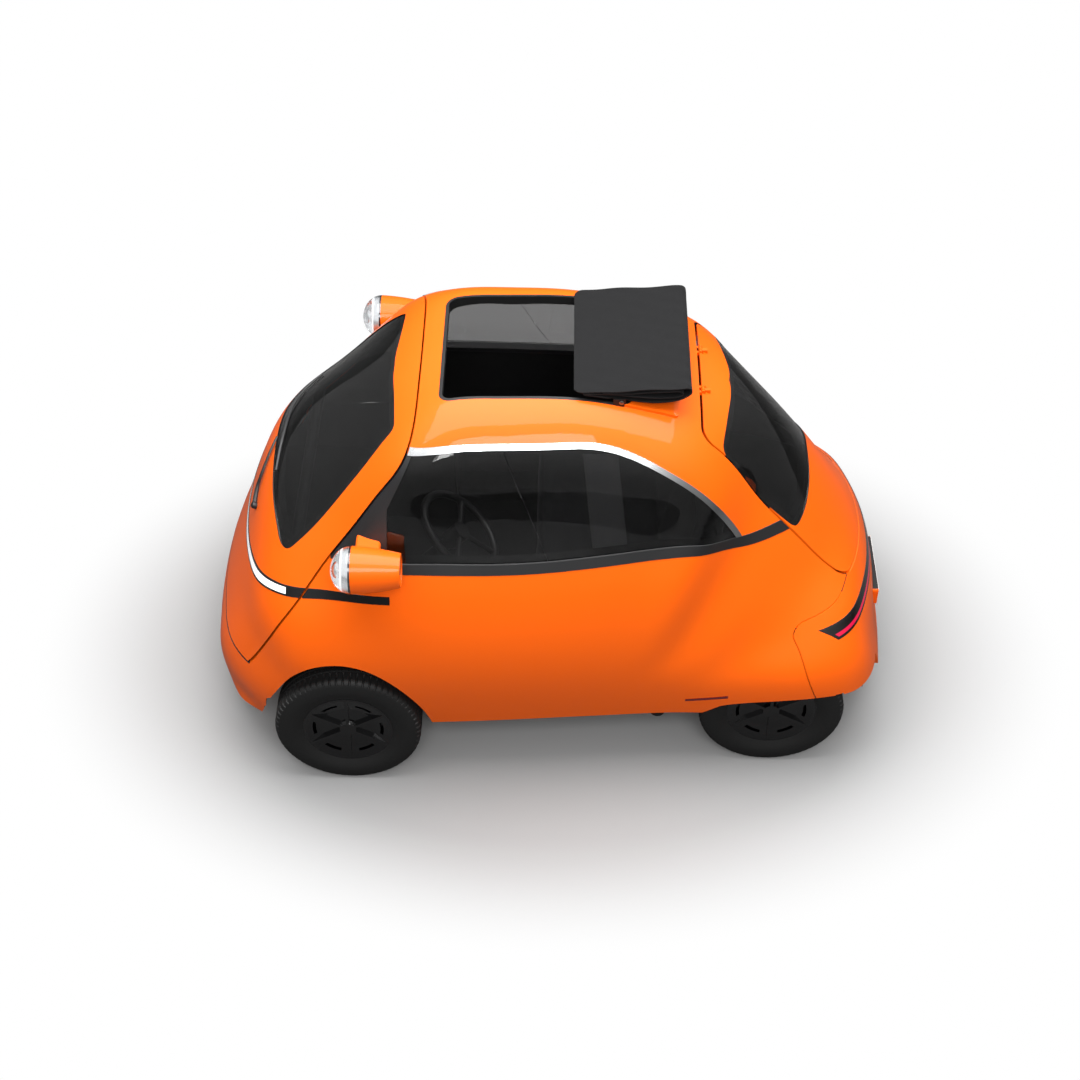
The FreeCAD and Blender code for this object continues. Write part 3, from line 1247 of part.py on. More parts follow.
def build():
    """All sub-parts by name."""
    shell = lower_body()
    parts = {}
    parts["side_panel_left"], parts["side_panel_right"] = side_panels(shell)
    parts["nose_panel"] = nose_panel(shell)
    parts["tail_panel"] = tail_panel()
    parts["roof_panel"] = roof_panel()
    parts["belt_rails"] = pair(belt_rail())
    parts["pillar_covers"] = pair(pillar_cover())
    parts["side_windows"] = pair(side_glass())
    parts["door_panel"] = door_panel()
    parts["door_bar"] = door_bar()
    parts["windscreen"] = windscreen()
    parts["light_strip"], parts["strip_ends"] = light_strip()
    bar, frame = tail_light()
    parts["red_lights"] = Part.makeCompound(bar.Solids + markers().Solids)
    parts["strip_ends"] = Part.makeCompound(parts["strip_ends"].Solids + frame.Solids)
    parts["chrome_strips"] = chrome_strips()
    parts["tailgate"] = tailgate()
    parts["rear_glass"] = rear_glass()
    parts["folded_cloth"] = folded_cloth()
    parts["roof_seal"] = roof_seal()
    pod, lens, mirror = lamp_pod()
    parts["lamp_pods"] = pair(pod)
    parts["lamp_lenses"] = pair(lens)
    parts["mirrors"] = pair(mirror)
    for name, x, track, sign in (("front_left", front_axle_x(), FRONT_TRACK, -1),
                                 ("front_right", front_axle_x(), FRONT_TRACK, 1),
                                 ("rear_left", rear_axle_x(), REAR_TRACK, -1),
                                 ("rear_right", rear_axle_x(), REAR_TRACK, 1)):
        parts["tyre_" + name] = tyre(x, sign * track / 2)
        parts["rim_" + name] = rim(x, sign * track / 2, sign)
    parts["knuckle_left"] = knuckle(-1)
    parts["knuckle_right"] = knuckle(1)
    parts["front_arms"] = front_arms()
    parts["rear_axle"] = rear_axle()
    parts["wheel_housings"] = pair(housings())
    parts["floor_pan"] = floor_pan()
    parts["parcel_shelf"] = parcel_shelf()
    parts["seat_cushion"] = seat_cushion()
    parts["seat_back"] = seat_back()
    parts["headrests"] = headrests()
    parts["seat_frame"] = seat_frame()
    parts["battery"] = battery()
    parts["motor"] = motor()
    parts["steering_column"] = steering_column()
    parts["steering_wheel"] = steering_wheel()
    return parts


os.makedirs("parts", exist_ok=True)
for node, shape in build().items():
    shape.exportStep("parts/" + node + ".step")
    room = shape.BoundBox
    print(node, len(shape.Solids), shape.isValid(), round(shape.Volume / 1000),
          [round(v) for v in (room.XMin, room.XMax, room.YMin, room.YMax, room.ZMin, room.ZMax)])
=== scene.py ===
"""Looks of a two-seat bubble car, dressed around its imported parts.

Metres, in the frame of the parts: +X runs rearward, +Y to the car's right, +Z up, with the
origin on the floor below the middle of the car.
"""

import logging
import math
from collections.abc import Iterable, Sequence
from dataclasses import dataclass
from enum import Enum

import bpy
from mathutils import Matrix, Vector
from mathutils.bvhtree import BVHTree


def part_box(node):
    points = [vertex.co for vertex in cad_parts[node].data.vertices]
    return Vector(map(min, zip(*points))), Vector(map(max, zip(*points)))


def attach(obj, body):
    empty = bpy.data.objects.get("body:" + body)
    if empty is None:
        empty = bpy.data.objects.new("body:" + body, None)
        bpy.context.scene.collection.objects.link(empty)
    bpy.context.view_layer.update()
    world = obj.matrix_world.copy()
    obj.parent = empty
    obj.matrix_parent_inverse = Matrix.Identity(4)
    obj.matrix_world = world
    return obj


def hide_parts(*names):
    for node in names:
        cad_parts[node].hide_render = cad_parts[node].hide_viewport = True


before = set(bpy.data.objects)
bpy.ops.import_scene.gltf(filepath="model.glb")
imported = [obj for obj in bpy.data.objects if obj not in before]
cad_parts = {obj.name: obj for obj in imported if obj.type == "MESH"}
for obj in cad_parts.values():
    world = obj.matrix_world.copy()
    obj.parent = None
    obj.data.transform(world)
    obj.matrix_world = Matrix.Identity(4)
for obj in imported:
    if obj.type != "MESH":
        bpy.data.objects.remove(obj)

LOG = logging.getLogger("microcar")
MM = 0.001

# Sockets of a Mix node set to colours: its first colour, its second and its result
MIX_FIRST, MIX_SECOND, MIX_RESULT = 6, 7, 2
# Edges sharper than this stay sharp in shading
SHARP_DEGREES = 38
# Vertices count as one where they agree to 1 / 50000 m
WELDS_PER_METRE = 50000
# Radius of a lathed piece at its middle, where it may not close to a point
NIB = 0.0005
# Sign of Y and name of each side
SIDES = ((-1, "left"), (1, "right"))


# Colour and node helpers

def linear(hex_colour: str, alpha: float = 1.0) -> tuple[float, float, float, float]:
    """Turn an sRGB hex colour into linear values for a shader.

    Args:
        hex_colour: Colour such as "#F26A0B".
        alpha: Opacity to carry along.

    Returns:
        Linear red, green and blue, and alpha.
    """
    parts = [int(hex_colour[i:i + 2], 16) / 255 for i in (1, 3, 5)]
    low = [c / 12.92 if c <= 0.04045 else ((c + 0.055) / 1.055) ** 2.4 for c in parts]
    return (low[0], low[1], low[2], alpha)


def add_node(tree: bpy.types.NodeTree, kind: str, settings: dict | None = None,
             links: dict | None = None) -> bpy.types.Node:
    """Add a shader node with its settings and what feeds it.

    Args:
        tree: Node tree to add to.
        kind: Blender's node type.
        settings: Attribute or input name to value.
        links: Input name to an output socket.

    Returns:
        The new node.
    """
    node = tree.nodes.new(kind)
    for name, value in (settings or {}).items():
        if isinstance(name, str) and hasattr(node, name):
            setattr(node, name, value)
        else:
            node.inputs[name].default_value = value
    for name, socket in (links or {}).items():
        tree.links.new(socket, node.inputs[name])
    return node


def new_material(name: str) -> tuple[bpy.types.Material, bpy.types.NodeTree, bpy.types.Node]:
    """Start a material with a Principled shader.

    Args:
        name: Name of the real material and how its surface was made.

    Returns:
        The material, its tree and the shader node.
    """
    material = bpy.data.materials.new(name)
    material.use_nodes = True
    tree = material.node_tree
    return material, tree, tree.nodes["Principled BSDF"]


def place_vector(tree: bpy.types.NodeTree) -> bpy.types.NodeSocket:
    """Position on the object, in metres."""
    return add_node(tree, "ShaderNodeTexCoord").outputs["Object"]


def noise(tree: bpy.types.NodeTree, size_mm: float, detail: float = 2.0) -> bpy.types.NodeSocket:
    """Noise over the object.

    Args:
        tree: Node tree.
        size_mm: Real size of its spots.
        detail: Finer layers in it.

    Returns:
        Socket with the noise, 0 to 1.
    """
    return add_node(tree, "ShaderNodeTexNoise", {"Scale": 1 / (size_mm * MM), "Detail": detail},
                    {"Vector": place_vector(tree)}).outputs["Fac"]


def mixed(tree: bpy.types.NodeTree, factor: bpy.types.NodeSocket, first: Sequence[float],
          second: Sequence[float]) -> bpy.types.NodeSocket:
    """Mix two colours.

    Args:
        tree: Node tree.
        factor: Socket with the share of the second colour.
        first: Linear colour at 0.
        second: Linear colour at 1.

    Returns:
        Socket with the colour between them.
    """
    node = add_node(tree, "ShaderNodeMix", {"data_type": "RGBA"}, {"Factor": factor})
    node.inputs[MIX_FIRST].default_value = first
    node.inputs[MIX_SECOND].default_value = second
    return node.outputs[MIX_RESULT]


def looked_at(tree: bpy.types.NodeTree) -> tuple[bpy.types.Node, bpy.types.NodeSocket]:
    """Whether the eye sees a place, straight or through glass.

    Args:
        tree: Node tree.

    Returns:
        The Light Path node, and a socket that is 1 for such rays and 0 for light.
    """
    path = add_node(tree, "ShaderNodeLightPath")
    node = add_node(tree, "ShaderNodeMath", {"operation": "MAXIMUM"},
                    {0: path.outputs["Is Camera Ray"], 1: path.outputs["Is Transmission Ray"]})
    return path, node.outputs["Value"]


def add_bump(tree: bpy.types.NodeTree, shader: bpy.types.Node, height: bpy.types.NodeSocket,
             depth_mm: float, strength: float = 1.0) -> None:
    """Feed a height into the shader's normal.

    Args:
        tree: Node tree.
        shader: Principled shader.
        height: Socket with the height, 0 to 1.
        depth_mm: Real depth from 0 to 1.
        strength: Strength of the effect.
    """
    bump = add_node(tree, "ShaderNodeBump", {"Strength": strength, "Distance": depth_mm * MM},
                    {"Height": height})
    tree.links.new(bump.outputs["Normal"], shader.inputs["Normal"])


def set_inputs(shader: bpy.types.Node, values: dict) -> None:
    """Set constant inputs on a shader by name."""
    for name, value in values.items():
        shader.inputs[name].default_value = value


# Finishes

@dataclass(frozen=True)
class Lacquer:
    """Car paint: pigment under a clear coat."""

    name: str = "car_paint_clear_coated"
    dark: str = "#EE5C08"
    light: str = "#F5640A"
    flake_mm: float = 0.9
    peel_mm: float = 7.0
    peel_depth_mm: float = 0.02
    peel_strength: float = 0.25
    roughness: float = 0.45
    specular: float = 0.1
    coat: float = 0.45
    coat_ior: float = 1.4
    coat_roughness: float = 0.03

    def build(self) -> bpy.types.Material:
        """Make the material. The coat gives sharp reflections over a warm, softly lit colour.

        Returns:
            The lacquer.
        """
        material, tree, shader = new_material(self.name)
        tint = mixed(tree, noise(tree, self.flake_mm, 1.0), linear(self.dark), linear(self.light))
        tree.links.new(tint, shader.inputs["Base Color"])
        add_bump(tree, shader, noise(tree, self.peel_mm, 1.0), self.peel_depth_mm, self.peel_strength)
        set_inputs(shader, {"Roughness": self.roughness, "Specular IOR Level": self.specular,
                            "Coat Weight": self.coat, "Coat Roughness": self.coat_roughness,
                            "Coat IOR": self.coat_ior})
        return material


@dataclass(frozen=True)
class Moulded:
    """Moulded plastic, from high gloss to grained."""

    name: str
    colour: str
    roughness: float
    grain_mm: float = 0.8
    grain_depth_mm: float = 0.03
    coat: float = 0.0
    coat_roughness: float = 0.05
    grain_strength: float = 0.4
    smoothest: float = 0.9
    roughest: float = 1.15
    ior: float = 1.5

    def build(self) -> bpy.types.Material:
        """Make the material. A fine grain breaks the highlight up as a mould's texture does.

        Returns:
            The moulded plastic or rubber.
        """
        material, tree, shader = new_material(self.name)
        grain = noise(tree, self.grain_mm)
        add_bump(tree, shader, grain, self.grain_depth_mm, self.grain_strength)
        span = {"To Min": self.roughness * self.smoothest, "To Max": self.roughness * self.roughest}
        wear = add_node(tree, "ShaderNodeMapRange", span, {"Value": grain})
        tree.links.new(wear.outputs["Result"], shader.inputs["Roughness"])
        set_inputs(shader, {"Base Color": linear(self.colour), "Coat Weight": self.coat,
                            "Coat Roughness": self.coat_roughness, "IOR": self.ior})
        return material


@dataclass(frozen=True)
class Glazing:
    """Car glass, tinted in the mass."""

    name: str
    tint: str
    roughness: float = 0.0
    ior: float = 1.45

    def build(self) -> bpy.types.Material:
        """Make the material. Each face of the pane takes its share of the tint.

        Returns:
            The glass.
        """
        material, tree, shader = new_material(self.name)
        set_inputs(shader, {"Base Color": linear(self.tint), "Roughness": self.roughness, "IOR": self.ior,
                            "Transmission Weight": 1.0})
        return material


@dataclass(frozen=True)
class Metal:
    """Bare or plated metal."""

    name: str
    colour: str
    roughness: float
    grain_mm: float = 1.5
    grain_depth_mm: float = 0.01
    grain_strength: float = 0.3

    def build(self) -> bpy.types.Material:
        """Make the material. A slight waviness keeps wide reflections from looking ideal.

        Returns:
            The metal.
        """
        material, tree, shader = new_material(self.name)
        add_bump(tree, shader, noise(tree, self.grain_mm), self.grain_depth_mm, self.grain_strength)
        set_inputs(shader, {"Base Color": linear(self.colour), "Metallic": 1.0, "Roughness": self.roughness})
        return material


@dataclass(frozen=True)
class Woven:
    """Woven cloth, its threads drawn coarse enough to show."""

    name: str
    colour: str
    thread_mm: float
    roughness: float = 0.9
    sheen: float = 0.3
    sheen_roughness: float = 0.5
    specular: float = 0.2
    unevenness: float = 0.6
    mottle_threads: float = 12
    darkest: float = 0.8
    lightest: float = 1.2
    thread_depth: float = 1 / 3
    thread_strength: float = 0.5

    def build(self) -> bpy.types.Material:
        """Make the material. Crossed threads give the matt, slightly speckled look of cloth.

        Returns:
            The cloth.
        """
        material, tree, shader = new_material(self.name)
        place = place_vector(tree)
        waves = []
        for direction in ("X", "Y"):
            threads = {"bands_direction": direction, "Scale": 1 / (self.thread_mm * MM) / math.tau,
                       "Distortion": self.unevenness, "Detail": 1.0}
            wave = add_node(tree, "ShaderNodeTexWave", threads, {"Vector": place})
            waves.append(wave.outputs["Fac"])
        weave = add_node(tree, "ShaderNodeMath", {"operation": "MULTIPLY"}, {0: waves[0], 1: waves[1]})
        colour = linear(self.colour)[:3]
        tones = [(*(part * tone for part in colour), 1.0) for tone in (self.darkest, self.lightest)]
        shade = mixed(tree, noise(tree, self.thread_mm * self.mottle_threads), *tones)
        tree.links.new(shade, shader.inputs["Base Color"])
        depth_mm = self.thread_mm * self.thread_depth
        add_bump(tree, shader, weave.outputs["Value"], depth_mm, self.thread_strength)
        set_inputs(shader, {"Roughness": self.roughness, "Sheen Weight": self.sheen,
                            "Sheen Roughness": self.sheen_roughness, "Specular IOR Level": self.specular})
        return material


@dataclass(frozen=True)
class Smoked:
    """Lamp cover that is lit up to a line and smoked past it."""

    name: str
    colour: str
    glow: str
    strength: float
    axis: str
    line: float
    smoke: str = "#0A0607"
    blur_mm: float = 0.6
    roughness: float = 0.1

    def build(self) -> bpy.types.Material:
        """Make the material. Only one part glows, so the lamp reads as a thin line.

        Returns:
            The tinted plastic with its lit part.
        """
        material, tree, shader = new_material(self.name)
        place = add_node(tree, "ShaderNodeSeparateXYZ", None, {0: place_vector(tree)})
        blur = self.blur_mm * MM
        span = {"From Min": self.line - blur, "From Max": self.line + blur, "To Min": 1.0, "To Max": 0.0}
        range_node = add_node(tree, "ShaderNodeMapRange", span, {"Value": place.outputs[self.axis]})
        part = range_node.outputs["Result"]
        glow = add_node(tree, "ShaderNodeMath", {"operation": "MULTIPLY", 1: self.strength}, {0: part})
        tint = mixed(tree, part, linear(self.smoke), linear(self.colour))
        tree.links.new(tint, shader.inputs["Base Color"])
        tree.links.new(glow.outputs["Value"], shader.inputs["Emission Strength"])
        set_inputs(shader, {"Roughness": self.roughness, "Emission Color": linear(self.glow),
                            "Coat Weight": 1.0})
        return material


@dataclass(frozen=True)
class Glowing:
    """Plastic given a little glow of its own: a lamp's light guide, and the red reflector, where the glow is
    painted light since no lamp lies behind it.
    """

    name: str
    colour: str
    glow: str
    strength: float
    roughness: float = 0.12
    ridge_mm: float = 4.0
    ridge_depth_mm: float = 0.02
    ridge_strength: float = 0.2

    def build(self) -> bpy.types.Material:
        """Make the material. The glow keeps a lamp bright where no light falls on it; on the red reflector it
        is painted light.

        Returns:
            The glowing plastic.
        """
        material, tree, shader = new_material(self.name)
        add_bump(tree, shader, noise(tree, self.ridge_mm), self.ridge_depth_mm, self.ridge_strength)
        set_inputs(shader, {"Base Color": linear(self.colour), "Roughness": self.roughness,
                            "Emission Color": linear(self.glow), "Emission Strength": self.strength,
                            "Coat Weight": 1.0})
        return material


class Shade(Enum):
    """Every finish on the car."""

    PAINT = Lacquer()
    LINING = Moulded("abs_lining_moulded", "#0E0E0F", 0.6, 1.2, 0.05)
    TRIM = Moulded("polypropylene_trim_moulded", "#1E1E1F", 0.42, 0.9, 0.03)
    GLOSS = Moulded("abs_trim_high_gloss", "#0B0B0C", 0.12, 3.0, 0.004, 1.0)
    RUBBER = Moulded("epdm_seal_extruded", "#0C0C0C", 0.55, 1.0, 0.03)
    TYRE = Moulded("tyre_rubber_moulded", "#101010", 0.62, 1.6, 0.06)
    COVER = Moulded("abs_wheel_cover_moulded", "#050506", 0.18, 2.0, 0.005, 1.0)
    GLASS = Glazing("soda_glass_tinted", "#969696")
    CLEAR = Glazing("polycarbonate_clear", "#F4F6F8")
    CHROME = Metal("chrome_plated", "#F0F2F4", 0.2)
    SILVER = Metal("reflector_aluminised", "#F4F5F6", 0.22)
    STEEL = Metal("steel_brushed", "#8C8E90", 0.35)
    ALLOY = Metal("aluminium_cast", "#A4A6A8", 0.5, 1.2, 0.06)
    IRON = Moulded("cast_iron_powder_coated", "#151516", 0.5, 1.4, 0.08)
    MIRROR = Metal("glass_silvered", "#F0F2F3", 0.01, 40.0, 0.0)
    CLOTH = Woven("roof_cloth_woven_acrylic", "#101011", 1.1, 0.85, 0.03)
    SEAT = Woven("seat_cloth_woven_polyester", "#202022", 2.2, 0.85, 0.1)
    WHITE = Glowing("light_guide_milky", "#F5F6F7", "#FFFFFF", 0.6)
    STRIP = Smoked("light_strip_milky_cover", "#F5F6F7", "#FFFFFF", 0.5, "X", -0.925)
    RED = Smoked("tail_lamp_acrylic_red", "#B00834", "#E8104A", 0.45, "Z", 0.603)
    # The red reflector has no lamp behind it: its faint glow is painted light.
    REFLECTOR = Glowing("reflector_acrylic_red_painted_glow", "#6A0812", "#500008", 0.05)
    FRIT = Moulded("glass_edge_ceramic_print", "#101011", 0.35, 2.0, 0.0)
    PILLAR = Moulded("polypropylene_pillar_trim_moulded", "#6A6A6B", 0.55, 1.2, 0.03)
    PLATE = Moulded("number_plate_blank_lacquered", "#E8E8E6", 0.3, 2.0, 0.0)


MADE: dict[Shade, bpy.types.Material] = {}


def finish(shade: Shade) -> bpy.types.Material:
    """The material of a finish, made once.

    Args:
        shade: Finish to look up.

    Returns:
        Its material.
    """
    if shade not in MADE:
        MADE[shade] = shade.value.build()
    return MADE[shade]


# Mesh helpers

def add_piece(name: str, points: Sequence[Sequence[float]], faces: Sequence[Sequence[int]],
              shades: Sequence[Shade], body: str, smooth: bool = True) -> bpy.types.Object:
    """Make a mesh object that moves with one body.

    Args:
        name: Name of the piece.
        points: Vertices in metres.
        faces: Vertex numbers of each face.
        shades: Finishes, the first for every face.
        body: Body that carries the piece.
        smooth: Whether the faces are shaded as one smooth skin.

    Returns:
        The new object.
    """
    mesh = bpy.data.meshes.new(name)
    mesh.from_pydata([tuple(p) for p in points], [], [tuple(f) for f in faces])
    mesh.validate()
    for shade in shades:
        mesh.materials.append(finish(shade))
    obj = bpy.data.objects.new(name, mesh)
    bpy.context.scene.collection.objects.link(obj)
    if smooth:
        for face in mesh.polygons:
            face.use_smooth = True
        mesh.set_sharp_from_angle(angle=math.radians(SHARP_DEGREES))
    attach(obj, body)
    LOG.info("added %s: %d faces", name, len(faces))
    return obj


def put_on(names: Iterable[str], shade: Shade) -> None:
    """Give each named node one finish.

    Args:
        names: Nodes to dress.
        shade: Finish that they get.
    """
    for name in names:
        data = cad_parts[name].data
        data.materials.clear()
        data.materials.append(finish(shade))


def tree_of(name: str) -> BVHTree:
    """Search tree over the faces of a node.

    Args:
        name: Name of the node.

    Returns:
        The tree, in the frame of the scene.
    """
    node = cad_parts[name]
    points = [node.matrix_world @ v.co for v in node.data.vertices]
    return BVHTree.FromPolygons(points, [tuple(p.vertices) for p in node.data.polygons])


def middle_of(name: str) -> Vector:
    """Middle of a node's box."""
    lo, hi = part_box(name)
    return (Vector(lo) + Vector(hi)) / 2


def islands(mesh: bpy.types.Mesh) -> list[list[int]]:
    """Faces of each separate solid in a mesh, whose vertices may be split along its edges.

    Args:
        mesh: Mesh of one node.

    Returns:
        A list of face numbers for each solid.
    """
    key_of: dict[tuple[int, int, int], int] = {}
    root: list[int] = []

    def find(i: int) -> int:
        """Number that stands for the solid of a vertex.

        Args:
            i: Number of a welded vertex.

        Returns:
            The number that all vertices of its solid share.
        """
        while root[i] != i:
            root[i] = root[root[i]]
            i = root[i]
        return i

    ids = []
    for vertex in mesh.vertices:
        key = tuple(round(c * WELDS_PER_METRE) for c in vertex.co)
        if key not in key_of:
            key_of[key] = len(root)
            root.append(len(root))
        ids.append(key_of[key])
    for face in mesh.polygons:
        first = find(ids[face.vertices[0]])
        for vertex in face.vertices[1:]:
            root[find(ids[vertex])] = first
    groups: dict[int, list[int]] = {}
    for face in mesh.polygons:
        groups.setdefault(find(ids[face.vertices[0]]), []).append(face.index)
    return list(groups.values())


def smooth_path(points: Sequence[Vector], steps: int) -> list[Vector]:
    """Catmull-Rom curve through points, with the given number of steps between two of them.

    Args:
        points: Points that the curve goes through.
        steps: Steps from one point to the next.

    Returns:
        The points along the curve.
    """
    path = []
    last = len(points) - 1
    for i in range(last):
        a, b, c, d = points[max(i - 1, 0)], points[i], points[i + 1], points[min(i + 2, last)]
        for k in range(steps):
            t = k / steps
            path.append((b * 2 + (c - a) * t + (a * 2 - b * 5 + c * 4 - d) * t * t
                         + (b * 3 - a - c * 3 + d) * t * t * t) / 2)
    path.append(points[last].copy())
    return path


def tube(path: Sequence[Vector], radii: Sequence[float], sides: int = 12,
         flat: float = 1.0) -> tuple[list[Vector], list[list[int]]]:
    """Closed tube along a path.

    Args:
        path: Middle line.
        radii: Radius at each point.
        sides: Number of sides.
        flat: Height of the section as a share of its width.

    Returns:
        Points and faces.
    """
    points, faces = [], []
    for i, place in enumerate(path):
        run = (path[min(i + 1, len(path) - 1)] - path[max(i - 1, 0)]).normalized()
        across = run.cross(Vector((0, 0, 1)))
        across = across.normalized() if across.length > 0.1 else Vector((0, 1, 0))
        up = across.cross(run)
        for k in range(sides):
            turn = math.tau * k / sides
            points.append(place + across * math.cos(turn) * radii[i] + up * math.sin(turn) * radii[i] * flat)
    for i in range(len(path) - 1):
        for k in range(sides):
            a, b = i * sides + k, i * sides + (k + 1) % sides
            faces.append([a, b, b + sides, a + sides])
    faces.append(list(range(sides))[::-1])
    faces.append([(len(path) - 1) * sides + k for k in range(sides)])
    return points, faces


def lathe(outline: Sequence[tuple[float, float]], centre: Vector, axis: Vector,
          segments: int = 64) -> tuple[list[Vector], list[list[int]]]:
    """Turn an outline about an axis.

    Args:
        outline: Places along the axis and radii.
        centre: Start of the axis.
        axis: Its direction.
        segments: Steps round the axis.

    Returns:
        Points and faces.
    """
    side = axis.orthogonal().normalized()
    up = axis.cross(side)
    points, faces = [], []
    for along, radius in outline:
        for k in range(segments):
            turn = math.tau * k / segments
            points.append(centre + axis * along + (side * math.cos(turn) + up * math.sin(turn)) * radius)
    for i in range(len(outline) - 1):
        for k in range(segments):
            a, b = i * segments + k, i * segments + (k + 1) % segments
            faces.append([a, b, b + segments, a + segments])
    return points, faces


def joined(*shapes: tuple[list[Vector], list[list[int]]]) -> tuple[list[Vector], list[list[int]]]:
    """Several shapes as one list of points and faces.

    Args:
        shapes: Points and faces of each shape.

    Returns:
        All points, and all faces numbered to match.
    """
    points: list[Vector] = []
    faces: list[list[int]] = []
    for new_points, new_faces in shapes:
        base = len(points)
        points.extend(new_points)
        faces.extend([[base + k for k in face] for face in new_faces])
    return points, faces


# Body

@dataclass
class Body:
    """Painted panels with a dark lining on their inner faces and under the glass."""

    panels: tuple[str, ...] = ("side_panel_left", "side_panel_right", "nose_panel", "tail_panel",
                               "roof_panel", "door_panel", "tailgate")
    panes: tuple[str, ...] = ("windscreen", "rear_glass")
    framed: tuple[str, ...] = ("door_panel", "tailgate")
    core_height: float = 0.62
    core_reach: float = 0.75
    inward_share: float = -0.15
    cover: float = 0.014
    below: float = 0.014 / 12
    depth: float = 0.075
    edge_share: float = 0.7

    def dress(self) -> None:
        """Paint the outer faces of each panel, line the inner ones and black out what lies under a pane."""
        panes = [(tree_of(name), middle_of(name)) for name in self.panes]
        paint, lining, frit = range(3)
        for name in self.panels:
            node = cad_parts[name]
            node.data.materials.clear()
            for shade in (Shade.PAINT, Shade.LINING, Shade.FRIT):
                node.data.materials.append(finish(shade))
            for face in node.data.polygons:
                centre = face.center
                core_x = max(-self.core_reach, min(self.core_reach, centre.x))
                away = (centre - Vector((core_x, 0.0, self.core_height))).normalized()
                face.material_index = lining if face.normal.dot(away) < self.inward_share else paint
                if name in self.framed and self.covered(centre, face.normal, away, panes):
                    face.material_index = frit
            LOG.info("painted %s", name)

    def covered(self, place: Vector, normal: Vector, away: Vector,
                panes: Sequence[tuple[BVHTree, Vector]]) -> bool:
        """Whether a pane lies close to a face and not below it, or further out over it.

        Args:
            place: Middle of the face.
            normal: Its normal.
            away: Way out of the car there.
            panes: Search tree and middle of each pane.

        Returns:
            True for a face under a pane, and never for the outer edge of a panel.
        """
        for pane, middle in panes:
            inward = middle - place
            inward -= away * inward.dot(away)
            if abs(normal.dot(away)) < self.edge_share and normal.dot(inward) < 0:
                continue
            if pane.ray_cast(place + away * MM / 10, away, self.depth)[0] is not None:
                return True
            near = pane.find_nearest(place, self.cover)
            if near[0] is not None and (near[0] - place).dot(normal) > -self.below:
                return True
        return False


@dataclass
class Trim:
    """Dark and bright trim, glass and lamps in the skin."""

    reflector_top: float = 0.5

    def dress(self) -> None:
        """Give the trim its finishes; the light strip is milky between black borders."""
        put_on(["belt_rails", "pillar_covers", "door_bar", "steering_column", "steering_wheel"], Shade.TRIM)
        put_on(["strip_ends"], Shade.GLOSS)
        put_on(["side_windows", "rear_glass", "windscreen"], Shade.GLASS)
        put_on(["chrome_strips"], Shade.CHROME)
        put_on(["roof_seal"], Shade.RUBBER)
        put_on(["mirrors"], Shade.MIRROR)
        self.split("light_strip", Shade.STRIP, Shade.GLOSS)
        self.lamps()

    def split(self, name: str, middle: Shade, edges: Shade) -> None:
        """Give the middle solid of a node one finish and those above and below it another.

        Args:
            name: Node to dress.
            middle: Finish of the solids between.
            edges: Finish of the lowest and the highest.
        """
        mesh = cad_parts[name].data
        mesh.materials.clear()
        mesh.materials.append(finish(middle))
        mesh.materials.append(finish(edges))
        groups = islands(mesh)
        heights = [sum(mesh.polygons[k].center.z for k in group) / len(group) for group in groups]
        order = sorted(range(len(groups)), key=lambda k: heights[k])
        for place, group in enumerate(order):
            outer = place in (0, len(order) - 1)
            for k in groups[group]:
                mesh.polygons[k].material_index = 1 if outer else 0
        LOG.info("split %s into %d solids", name, len(groups))

    def lamps(self) -> None:
        """Bright red tail light, darker reflectors on the flanks with a faint painted glow."""
        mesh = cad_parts["red_lights"].data
        mesh.materials.clear()
        mesh.materials.append(finish(Shade.RED))
        mesh.materials.append(finish(Shade.REFLECTOR))
        for face in mesh.polygons:
            face.material_index = 1 if face.center.z < self.reflector_top else 0


@dataclass
class Pods:
    """Lamp pods with a bright bowl behind each glass."""

    x: float = -0.668
    y: float = 0.697
    z: float = 1.080
    steps: int = 12
    bowl_radius: float = 0.066
    bowl_back: float = 0.003
    bowl_front: float = 0.030
    flange: tuple[float, float] = (0.0055, 0.0035)
    flange_radius: float = 0.0795
    ring_radius: float = 0.004
    ring_inset: float = 0.002
    eye_radius: float = 0.021
    eye_back: float = 0.004
    eye_dome: tuple[tuple[float, float], ...] = ((0.036, 1.0), (0.040, 0.85), (0.044, 0.5))
    eye_front: float = 0.045
    rim_radius: float = 0.0812
    rim_width: float = 0.008
    rim_reach: tuple[float, float] = (0.0005, 0.007)

    def dress(self) -> None:
        """Finish the housings and the glasses and fill them."""
        put_on(["lamp_pods"], Shade.PAINT)
        put_on(["lamp_lenses"], Shade.CLEAR)
        for side, name in SIDES:
            self.fill(Vector((self.x, side * self.y, self.z)), name)

    def fill(self, centre: Vector, name: str) -> None:
        """Build the bowl, the lamp's eye, its light ring and the dark rim of one pod.

        Args:
            centre: Origin of the axis that the pod is turned about.
            name: Side of the car, for the names of the pieces.
        """
        axis = Vector((-1, 0, 0))
        bowl = [(self.bowl_back + (self.bowl_front - self.bowl_back) * (k / self.steps) ** 2,
                 max(self.bowl_radius * k / self.steps, NIB)) for k in range(self.steps + 1)]
        bowl += [(along, self.flange_radius) for along in self.flange]
        turns = [math.tau * k / self.steps for k in range(self.steps + 1)]
        ring = [(self.bowl_front + self.ring_radius * math.sin(turn),
                 self.bowl_radius - self.ring_inset + self.ring_radius * math.cos(turn)) for turn in turns]
        eye = [(self.eye_back, self.eye_radius)]
        eye += [(along, self.eye_radius * share) for along, share in self.eye_dome] + [(self.eye_front, NIB)]
        back, front = self.rim_reach
        rim = [(back, self.rim_radius - self.rim_width), (back, self.rim_radius), (front, self.rim_radius),
               (front, self.rim_radius - self.rim_width)]
        for part, outline, shade in (("bowl", bowl, Shade.SILVER), ("ring", ring, Shade.WHITE),
                                     ("eye", eye, Shade.SILVER), ("rim", rim, Shade.GLOSS)):
            add_piece(f"lamp_{part}_{name}", *lathe(outline, centre, axis), [shade], "body")


